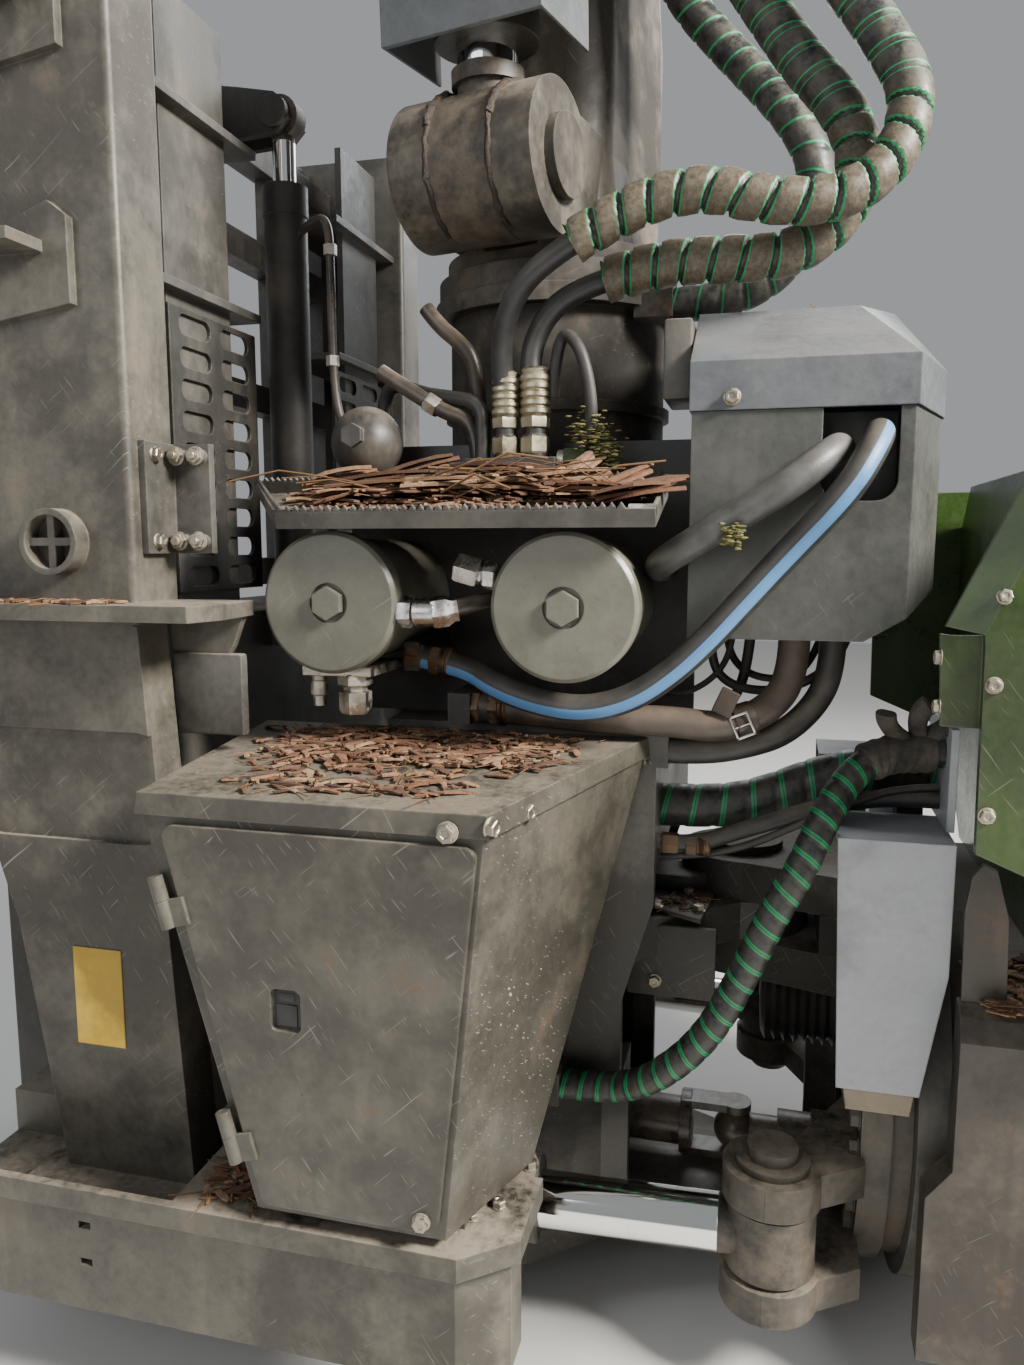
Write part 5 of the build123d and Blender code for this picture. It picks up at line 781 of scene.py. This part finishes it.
WRAPS = (("cloth_wrap_near", "hose_near_spiral", 0.865, 0.985, 0.004, 3),
         ("cloth_wrap_far", "hose_far_spiral", 0.83, 0.97, 0.003, 4))
for piece, hose, start, end, extra, seed in WRAPS:
    bm = bmesh.new()
    wrap(bm, hose, start, end, extra, seed)
    ON_HOSE[hose].append(from_bm(piece, bm, CLOTH, None, 60))
bm = bmesh.new()
for base, way, bend in (((1404, -262, 500), (-24, -12, 16), (0, -10, 20)),
                        ((1424, -258, 506), (-8, -14, 30), (16, -6, 12)),
                        ((1436, -258, 504), (24, -10, 14), (10, 0, 22))):
    ear = [at(*base), at(*(b + w for b, w in zip(base, way))),
           at(*(b + w + c for b, w, c in zip(base, way, bend)))]
    tube(bm, spline_line(ear, 12), lambda turn, along: 0.0105 + 0.003 * math.sin(turn * 12.6), 14)
ON_HOSE["hose_near_spiral"].append(from_bm("cloth_knot", bm, CLOTH, None, 60))


# Thin cables that are in the scene only: route and diameter in millimetres
CABLES = {
    "cable_base": ((
        (930, -262, 955), (934, -268, 1010), (950, -280, 1040), (975, -290, 1010), (988, -288, 950),
        (986, -280, 900), (975, -270, 875)), 17),
    "cable_cabinet_outer": ((
        (1150, -205, 640), (1148, -208, 590), (1175, -212, 556), (1230, -214, 548), (1290, -212, 566),
        (1330, -208, 610), (1338, -205, 645)), 13),
    "cable_cabinet_inner": ((
        (1168, -160, 640), (1170, -162, 600), (1200, -168, 566), (1250, -170, 560), (1290, -166, 584),
        (1306, -160, 640)), 11),
    "cable_head_low": ((
        (1084, -170, 470), (1130, -176, 486), (1176, -182, 520), (1200, -186, 570), (1204, -184, 640)), 15),
    "cable_head_loop": ((
        (1060, -206, 550), (1100, -216, 536), (1150, -216, 560), (1178, -206, 600), (1180, -190, 642)), 9),
    "cable_frame_thin": ((
        (1084, -215, 300), (1140, -222, 306), (1210, -236, 330), (1280, -250, 372), (1350, -256, 410),
        (1410, -238, 428), (1458, -236, 430)), 11),
}
JOINT_CABLE = "cable_frame_thin"
to_joint = [TUBES[name] for name in JOINT_HOSES] + ON_HOSE["hose_near_spiral"] + ON_HOSE["hose_far_spiral"]
for name, (route, diameter) in CABLES.items():
    route = mm(*route)
    points = spline_line(route, 12)
    bm = bmesh.new()
    lengths = tube(bm, points, plain(diameter / 2000), 16)[0]
    piece = from_bm(name, bm, BLACK_DUSTY, None if name == JOINT_CABLE else "rear_frame", 60)
    if name == JOINT_CABLE:
        to_joint.append(piece)


# Hoses to the joint's bulkhead bend with the steering, and the crane's hoses with its slewing
for piece in to_joint:
    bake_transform(piece, "rear_frame", "joint_link", start=(1.15, -0.25, 0.4), end=(1.43, -0.25, 0.4))
for name, height in zip(CRANE_HOSES, (1.44, 1.54, 1.44)):
    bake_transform(TUBES[name], "rear_frame", "king_post", start=(1.2, -0.2, 1.14), end=(1.2, -0.2, height))


# ---- small parts: places in millimetres

groups = {}


def group(name, material, sharp=35, body="rear_frame"):
    """Mesh that gathers like small parts of one body."""
    if name not in groups:
        bm = bmesh.new()
        bm.verts.layers.float.new("tint")
        groups[name] = (bm, material, body, sharp)
    return groups[name][0]


def turned(bm, place, axis, profile, sides=24, turn=0.0):
    """Turned form whose place and profile are in millimetres."""
    lathe(bm, at(*place), axis, radii(profile), sides, turn)


SIDES = ((1, "right"), (-1, "left"))
CABINET_SIDE = (0.934, -0.345, -0.088)
PAD_LIP = -456

# Hex heads: body, place on the right side, axis, size, whether the left side has one too
HEADS = (
    ("rear_frame", (899, -649.5, 444), (0, -1, 0), 22, True),
    ("rear_frame", (944, -641, 451), CABINET_SIDE, 21, True),
    ("rear_frame", (965, -565, 450), CABINET_SIDE, 21, True),
    ("rear_frame", (1071, -281, 457), CABINET_SIDE, 20, True),
    ("cabinet_door_", (864, -651.5, -20), (0, -1, 0), 19, True),
    ("rear_frame", (947, -462, -60), (0, 0, 1), 20, True),
    ("rear_frame", (928, -548, -60), (0, 0, 1), 18, True),
    ("rear_frame", (903, -578, -60), (0, 0, 1), 15, True),
    ("rear_frame", (886, -604, -60), (0, 0, 1), 15, True),
    ("rear_frame", (1175, -353, 934), (0, -1, 0), 19, False),
    ("rear_frame", (1079, -208, 103), (0, -1, 0), 18, False),
    ("rear_frame", (1076, -176, 208), (0, 0, 1), 18, False),
    ("rear_frame", (1140, -180, 208), (0, 0, 1), 18, False),
    ("rear_frame", (1120, -110, 208), (0, 0, 1), 18, False),
    ("front_frame", (1447, -578, 614), (0, -1, 0), 15, True),
    ("front_frame", (1448, -578, 481), (0, -1, 0), 15, True),
    ("front_frame", (1452, -576, 702), (0, -1, 0.25), 14, True),
    ("front_frame", (1398, -572, 640), (-1, 0, 0), 14, True),
    ("front_frame", (1399, -572, 590), (-1, 0, 0), 14, True),
)
random.seed(7)
for body, place, axis, size, paired in HEADS:
    for side, word in SIDES[:2 if paired else 1]:
        owner = body + word if body.endswith("_") else body
        bm = group("bolts_" + owner, ZINC_DULL, 30, owner)
        hex_bolt(bm, at(place[0], place[1] * side, place[2]), (axis[0], axis[1] * side, axis[2]),
                 size / 1000, random.random())

for side, _ in SIDES:
    bm = group("pad_bolts", ZINC_DULL, 30)
    for reach in (22, 50):
        for z in (758, 868):
            seat = at(450 + reach, side * (PAD_LIP - 13.5), z)
            hex_bolt(bm, seat, (0, -side, 0), 0.0215, random.random(), True)
    for z in (758, 868):
        hex_bolt(bm, at(460, -side * 500, z), (1, 0, 0), 0.018, random.random())

# Dark paddle latches in the doors' recesses
for side, word in SIDES:
    bm = group("latch_" + word, LATCH, 30, "cabinet_door_" + word)
    for x, z, depth in (((684, 716), (193, 239), 0.7), ((687, 713), (196, 222), 2.6),
                        ((690, 710), (226, 236), 1.6)):
        ends = sorted((side * -645.5, side * (-645.5 - depth)))
        slab(bm, at(x[0], ends[0], z[0]), at(x[1], ends[1], z[1]), 0.0004)

bm = group("roll_bolts", CAST, 30, "joint_link")
for k in range(40):
    angle = math.radians(9 * k + 4)
    seat = at(1371.5, 296 * math.cos(angle), -50 + 296 * math.sin(angle))
    hex_bolt(bm, seat, (-1, 0, 0), 0.027, random.random())


# Steel fittings at the filters
bm = group("filter_fittings", BRIGHT, 30)
turned(bm, (764, -430, 667), (1, 0, 0), "0 0, 19 0, 21 3, 21 16, 19 19, 0 19", 6, 0.4)
turned(bm, (784, -430, 667), (1, 0, 0), "15 0, 18.5 3, 18.5 24, 17 30, 0 30")
turned(bm, (808, -430, 666), (0.9, 0.3, 0.15), "0 -2, 19.5 0, 21 4, 21 19, 16 28, 16 34", 6, 0.2)
turned(bm, (893, -420, 713), (-1, 0, 0.12), "0 0, 17.5 0, 19 2, 19 15, 17.5 17, 12 20, 12 24", 6, 0.3)
turned(bm, (872, -420, 716), (-1, 0, 0.28), "12 0, 19.5 2, 21 6, 21 30, 19 34, 0 34", 6, 0.1)
bm = group("filter_nuts", ZINC, 30)
turned(bm, (687, -400, 592), (0, 0, -1), "0 0, 14 0, 14 10, 22 12, 24 15, 24 26, 16 30, 16 34, 22.5 36, "
                                         "22.5 60, 19 66, 0 66", 6)
turned(bm, (634, -400, 585), (0, 0, -1), "0 0, 10 0, 10 14, 12 16, 12 34, 9 36, 9 50, 0 50", 16)
slab(bm, at(618, -420, 578), at(718, -300, 592), 0.002)
turned(group("teal_valve", GREEN, 30), (948, -268, 868), (1, 0, 0),
       "0 0, 18 0, 19 2, 19 40, 17 42, 0 42", 6)
bm = group("teal_valve_ends", ZINC, 30)
turned(bm, (939, -268, 868), (1, 0, 0), "0 0, 15 0, 15 10, 0 10", 16)
turned(bm, (989, -268, 868), (1, 0, 0), "15 0, 15 5, 8 6, 8 16, 0 16", 16)

# Serrated rim of the tray
bm = group("tray_teeth", GREY, 30)
rise = math.atan2(53, 178)


def tray_point(x, y, z):
    """Place on the sloping tray from its flat plan."""
    dy, dz = y + 478, z
    return at(x, -478 + dy * math.cos(rise) - dz * math.sin(rise),
              773 + dy * math.sin(rise) + dz * math.cos(rise))


def teeth(start, end, across_rim, pitch, height):
    """Row of teeth on a rim between two plan points."""
    count = round(math.dist(start, end) / pitch)
    for k in range(count):
        a, b = k / count, (k + 1) / count
        ends = [(start[0] + (end[0] - start[0]) * s, start[1] + (end[1] - start[1]) * s)
                for s in (a, (a + b) / 2, b)]
        outline = [tray_point(*ends[0], 21.8), tray_point(*ends[1], 22 + height), tray_point(*ends[2], 21.8)]
        shift = tray_point(ends[0][0] + across_rim[0], ends[0][1] + across_rim[1], 21.8) - outline[0]
        prism(bm, outline, shift)


teeth((619, -478), (1064, -478), (0, 4.9), 11.2, 7.5)
teeth((504, -305), (1090, -305), (0, 4.9), 9.5, 5.5)
teeth((620, -473), (506, -305), (4, 0), 9.0, 5.5)
slab(group("tray_end", BRIGHT), at(1066, -480.5, 786), at(1099, -474, 800), 0.0015)

# Blank yellow plate, pocket plate, boxes and brackets
slab(group("leg_plate", BLANK), at(326, -541.5, 74), at(401, -540, 213), 0.0004)
bm = group("rear_brackets", GREY)
for low, high, bevel in (((1084, -300, 941), (1121, -190, 1043), 4),
                         ((1037, -208, 79), (1168, -198, 190), 2),
                         ((1037, -200, 120), (1049, -150, 150), 2),
                         ((1156, -200, 150), (1168, -150, 160), 2), ((452, -470, 500), (556, -452, 610), 4)):
    slab(bm, at(*low), at(*high), bevel / 1000)
prism(bm, spots(((1120, -70, 700), (1120, -196, 700), (1120, -196, 850), (1120, -150, 900),
                 (1120, -70, 905))), at(5, 0, 0), 0.001)
prism(group("ear_plate", PLATE_BROWN),
      spots(((1059, -107, 201), (1075, -181, 201), (1145, -217, 201), (1166, -55, 201))), at(0, 0, 7), 0.0012)
prism(group("ear_cap", GREY),
      spots(((1056, -100, 209), (1062, -40, 209), (1150, 10, 209), (1176, -20, 209), (1176, -60, 209),
         (1120, -104, 209))), at(0, 0, 26), 0.006)

# Bellows between the frame and the joint
bm = group("bellows", BLACK_DUSTY, 50, "joint_link")
profile = [(0, 0)]
for k in range(9):
    profile += [(0.062, 0.004 + k * 0.015), (0.076, 0.0115 + k * 0.015)]
profile += [(0.062, 0.139), (0, 0.139)]
lathe(bm, at(1232, -20, 22), (1, 0, 0), profile, 40)

# Lift cylinder's eye at the king post, for the grease round it
UP = Vector((0, 0, 1))
LIFT_TURN = math.radians(257.5)
king_out = Vector((math.cos(LIFT_TURN), math.sin(LIFT_TURN), 0))
king_along = Vector((-king_out.y, king_out.x, 0))
eye = at(880, 0, 1272) + king_out * 0.230


def lump(bm, place, size, tint=0.5):
    """Small uneven ball."""
    made = bmesh.ops.create_icosphere(bm, subdivisions=2, radius=1,
                                      matrix=Matrix.Translation(place) @ Matrix.Diagonal((*size, 1)))
    layer = bm.verts.layers.float["tint"]
    for vert in made["verts"]:
        shift = math.sin(vert.co.x * 700) * math.cos(vert.co.y * 610) * math.sin(vert.co.z * 830)
        vert.co += (vert.co - place) * 0.35 * shift
        vert[layer] = tint


def grease_band(middle, axis, radius, start, end, thick, seed):
    """Uneven bead of grease along an arc round an axis."""
    random.seed(seed)
    points = []
    for k in range(90):
        angle = math.radians(start + (end - start) * k / 89)
        points.append(middle + swung(king_out, UP, angle) * radius + axis * random.uniform(-0.001, 0.001))
    waves = [(random.uniform(40, 260), random.uniform(0, 6.3)) for _ in range(6)]

    def reach(turn, along):
        swell = sum(math.sin(along * a + b + 5 * turn) for a, b in waves) / 6
        return thick * (0.62 + 0.9 * swell * swell + 0.35 * swell)

    tube(group("grease", GREASE, 60, "king_post"), points, reach, 10)


for side, seed in ((-0.047, 3), (0.047, 4)):
    grease_band(eye + king_along * side, king_along, 0.0975, -70, 215, 0.0062, seed)
    grease_band(eye + king_along * side * 1.03, king_along, 0.0985, 20, 160, 0.0085, seed + 9)
pin_face = eye - king_along * 0.1085
grease_band(pin_face, king_along, 0.057, -170, 150, 0.0065, 8)
grease_band(pin_face, king_along, 0.075, -60, 40, 0.005, 12)
for k in range(70):
    angle, reach = random.uniform(-1.2, 1.2), random.uniform(0.056, 0.094)
    place = pin_face + swung(king_out, UP, angle) * reach
    size = random.uniform(0.0015, 0.0045)
    lump(group("grease", GREASE, 60, "king_post"), place, (size, size, size))


# ---- thin pipes: group, radius, sides, route

PIPES = (
    ("filter_pipe", 11.5, 20, ((832, -424, 671), (852, -412, 676), (900, -380, 686), (960, -330, 690),
                               (985, -300, 690))),
    ("thin_pipes", 6.5, 16, ((470, -106, 1240), (520, -150, 1250), (572, -200, 1238), (577, -206, 1160),
                             (577, -206, 1000), (590, -208, 930), (612, -209, 896))),
    ("thin_pipes", 11, 16, ((676, -262, 1000), (720, -262, 972), (772, -262, 940), (806, -262, 930),
                            (820, -262, 900), (822, -262, 866))),
    ("thin_pipes", 11, 16, ((742, -250, 1086), (760, -252, 1062), (795, -250, 1034), (812, -245, 1010),
                            (816, -240, 960), (820, -232, 895))),
)
for name, radius, sides, route in PIPES:
    tube(group(name, SHAFT, 60), spline_line(spots(route), 10),
         plain(radius / 1000), sides)
bm = group("pipe_nuts", ZINC, 30)
turned(bm, (764, -262, 945), (-45, 0, 29), "0 0, 15 1, 15.5 3, 15.5 20, 14 22, 0 22", 6)
for z in (1020, 1180):
    turned(bm, (577, -206, z), (0, 0, 1), "0 0, 10 1, 10 16, 0 17", 6)


# ---- bark, needles and lichen

def flake(bm, place, length, width, thick, heading, tilt, curl, tint):
    """Bent splinter of bark, uneven along its length."""
    layer = bm.verts.layers.float["tint"]
    turn = Matrix.Rotation(heading, 3, "Z") @ Matrix.Rotation(tilt, 3, "Y")
    rows = []
    for k in range(5):
        share = k / 4
        wide = (width * (0.35 + 0.65 * math.sin(math.pi * (0.12 + 0.76 * share)))
                * random.uniform(0.75, 1.15) / 2)
        along = (share - 0.5) * length
        sag = curl * length * (1 - (2 * share - 1) ** 2)
        skew = random.uniform(-0.12, 0.12) * width
        rows.append([])
        for side, up in ((-1, 0), (1, 0), (1, 1), (0.1, 1.35), (-1, 1)):
            point = Vector((along, side * wide + skew, sag + up * thick * random.uniform(0.7, 1.1)))
            vert = bm.verts.new(place + turn @ point)
            vert[layer] = tint
            rows[-1].append(vert)
    skin(bm, rows)


def litter(name, body, corners, count, sizes, lift, needles, spread, seed, heap=0.0):
    """Bark on a four-cornered patch; sizes are the least and greatest length in millimetres."""
    random.seed(seed)
    bark = group(name, BARK, 25, body)
    a, b, c, d = spots(corners)
    for k in range(count + needles):
        s = 0.5 + (random.random() - 0.5) * random.uniform(0.4, 1.0) ** (1 - spread)
        t = random.random()
        place = a.lerp(b, s).lerp(d.lerp(c, s), t)
        place += Vector((0, 0, lift + heap * random.random() * math.sin(math.pi * s)))
        if k < count:
            length = random.uniform(*sizes) * (0.45 + 0.55 * random.random()) / 1000
            flake(bark, place, length, length * random.uniform(0.16, 0.42), random.uniform(0.0012, 0.003),
                  random.uniform(-1.2, 1.2) + (math.pi if random.random() < 0.5 else 0),
                  random.uniform(-0.10, 0.10), random.uniform(0.0, 0.07), random.random())
        else:
            needle = group(name + "_needles", NEEDLES, 60, body)
            heading, length = random.uniform(0, 6.3), random.uniform(0.018, 0.05)
            way = Vector((math.cos(heading), math.sin(heading), random.uniform(-0.02, 0.12)))
            lathe(needle, place, way, ((0, 0), (0.0007, 0.0005), (0.0007, length), (0, length)), 5)


def flat(low, high, z, far=None):
    """Corners of a patch square to the frame; far is its height at its +Y side where that differs."""
    far = z if far is None else far
    return (*low, z), (high[0], low[1], z), (*high, far), (low[0], high[1], far)


# Patch: name, corners, pieces, sizes, lift in metres, needles, spread, seed, heap in metres
PATCHES = (
    ("bark_cabinet", ((590, -625, 466), (900, -600, 467), (1010, -340, 488), (560, -330, 489)),
     360, (7, 46), 0.0008, 150, 0.6, 21, 0.002),
    ("bark_cabinet", ((560, -500, 476), (1000, -480, 478), (1020, -330, 489), (520, -330, 489)),
     460, (9, 48), 0.001, 110, 0.5, 22, 0.007),
    ("bark_tray", ((630, -462, 784), (1085, -462, 784), (1085, -320, 826), (560, -320, 826)),
     520, (14, 60), 0.001, 160, 0.8, 23, 0.012),
    ("bark_tray", ((640, -410, 800), (1060, -410, 800), (1080, -330, 824), (620, -330, 824)),
     210, (40, 110), 0.008, 60, 0.8, 24, 0.030),
    ("bark_ledge_right", flat((140, -592), (440, -545), 680), 130, (8, 34), 0.0008, 50, 1.0, 25),
    ("bark_ledge_left", flat((140, 545), (440, 592), 680), 90, (8, 34), 0.0008, 30, 1.0, 26),
    ("bark_shelf", flat((310, -380), (425, -200), 1358.5), 60, (10, 42), 0.0008, 20, 1.0, 27),
    ("bark_front", flat((1508, -396), (1660, -230), 189), 330, (10, 56), 0.0008, 80, 1.0, 28, 0.012),
    ("bark_carrier", flat((560, -630), (650, -470), -59.5), 190, (8, 40), 0.0008, 60, 1.0, 29, 0.006),
    ("bark_cabinet_left", ((590, 600, 468), (900, 600, 468), (1010, 340, 488), (560, 340, 488)),
     320, (8, 44), 0.0008, 60, 0.6, 30, 0.004),
    ("bark_plate", ((1075, -170, 208.5), (1130, -195, 208.5), (1150, -120, 208.5), (1085, -110, 208.5)),
     46, (5, 20), 0.0006, 14, 1.0, 31),
    ("bark_lid", flat((1150, -200), (1330, -20), 1062, 1064), 40, (6, 26), 0.001, 20, 1.0, 32),
)
for name, *patch in PATCHES:
    litter(name, "front_frame" if name == "bark_front" else "rear_frame", *patch)

# Longer strips of bark on the tray: place, length, width, heading, tilt, tint
STRIPS = (
    ((690, -395, 822), 150, 26, 0.35, -0.22, 0.35), ((735, -385, 838), 170, 24, 0.15, -0.10, 0.22),
    ((800, -380, 836), 210, 22, -0.05, 0.02, 0.75), ((840, -400, 832), 190, 16, 0.10, -0.04, 0.9),
    ((880, -370, 850), 160, 30, -0.1, 0.05, 0.15), ((900, -395, 828), 230, 18, 0.02, 0.03, 0.55),
    ((965, -380, 838), 150, 14, 0.2, -0.08, 0.8), ((1010, -400, 822), 120, 28, -0.1, 0.02, 0.4),
    ((1068, -425, 816), 130, 40, 0.25, -0.16, 0.3), ((1085, -400, 826), 110, 32, 0.55, -0.2, 0.25),
    ((1050, -380, 838), 90, 24, 0.9, -0.3, 0.45), ((660, -360, 846), 110, 18, 0.5, -0.2, 0.6),
    ((760, -350, 858), 130, 24, 0.3, -0.24, 0.12), ((985, -350, 850), 100, 20, 1.2, -0.5, 0.65),
)
random.seed(41)
bm = group("bark_strips", BARK, 25)
for place, length, width, heading, tilt, tint in STRIPS:
    for layer_number in range(3):
        shift = Vector((random.uniform(-14, 14), random.uniform(-8, 8), layer_number * 4 - 6)) / 1000
        flake(bm, at(*place) + shift, length / 1000 * random.uniform(0.6, 1.0),
              width / 1000 * random.uniform(0.5, 1.0), 0.004, heading + random.uniform(-0.12, 0.12),
              tilt + random.uniform(-0.05, 0.05), random.uniform(0.0, 0.05),
              min(1, max(0, tint + random.uniform(-0.2, 0.2))))
random.seed(43)
for place, count, reach in (((985, -285, 905), 150, 26), ((1012, -300, 872), 130, 24),
                            ((1182, -412, 766), 80, 13)):
    bm = group("lichen", LICHEN, 60)
    for k in range(count):
        away = Vector((random.gauss(0, 1), random.gauss(0, 0.6), random.gauss(0, 1))) * reach / 2000
        size = random.uniform(0.0010, 0.0030)
        lump(bm, at(*place) + away, (size * 2.2, size, size * 0.7))
twigs = group("twigs", NEEDLES, 60)
for k in range(34):
    start = at(random.uniform(640, 1080), random.uniform(-440, -330), random.uniform(806, 842))
    heading = random.uniform(-0.5, 0.5) + random.choice((0, math.pi))
    way = Vector((math.cos(heading), math.sin(heading) * 0.5, random.uniform(-0.05, 0.3)))
    length = random.uniform(0.05, 0.14)
    bend = Vector((0, random.uniform(-0.01, 0.01), random.uniform(0.002, 0.02)))
    tube(twigs, [start, start + way * length / 2 + bend, start + way * length],
         plain(random.uniform(0.0008, 0.0018)), 6)

for name, (bm, material, body, sharp) in groups.items():
    from_bm(name, bm, material, body, sharp)


# ---- floor, light and world

FLOOR_GAP = 0.001
FLOOR_THICK = 0.02
bm = bmesh.new()
low = cad_box[0][2] - FLOOR_GAP
slab(bm, (-9, -9, low - FLOOR_THICK), (11, 11, low), 0)
n = Nodes("pale_floor")
material = n.finish(n.mix(n.noise(0.6), (0.60, 0.59, 0.57), (0.66, 0.65, 0.63)), 0.9)
floor = from_bm("floor", bm, material, None)

# Light: name, place, aim, size, power, colour
LIGHTS = (
    ("key", (4.3, -1.3, 3.1), (0.6, -0.4, 0.6), (1.3, 1.0), 760, (1.0, 0.965, 0.90)),
    ("fill", (-0.9, -4.0, 2.0), (0.8, -0.2, 0.4), (3.0, 2.4), 46, (0.94, 0.97, 1.0)),
    ("back", (1.0, 3.6, 3.2), (0.9, 0.2, 0.5), (3.0, 2.0), 110, (0.95, 0.98, 1.0)),
)
for name, place, aim, size, power, colour in LIGHTS:
    light = bpy.data.lights.new(name, "AREA")
    light.shape = "RECTANGLE"
    light.size, light.size_y = size
    light.energy = power
    light.color = colour
    aimed(name, light, place, Vector(aim) - Vector(place))
world = bpy.data.worlds.new("world")
world.use_nodes = True
background = world.node_tree.nodes["Background"].inputs
background["Color"].default_value = (0.80, 0.83, 0.86, 1)
background["Strength"].default_value = 0.42
bpy.context.scene.world = world
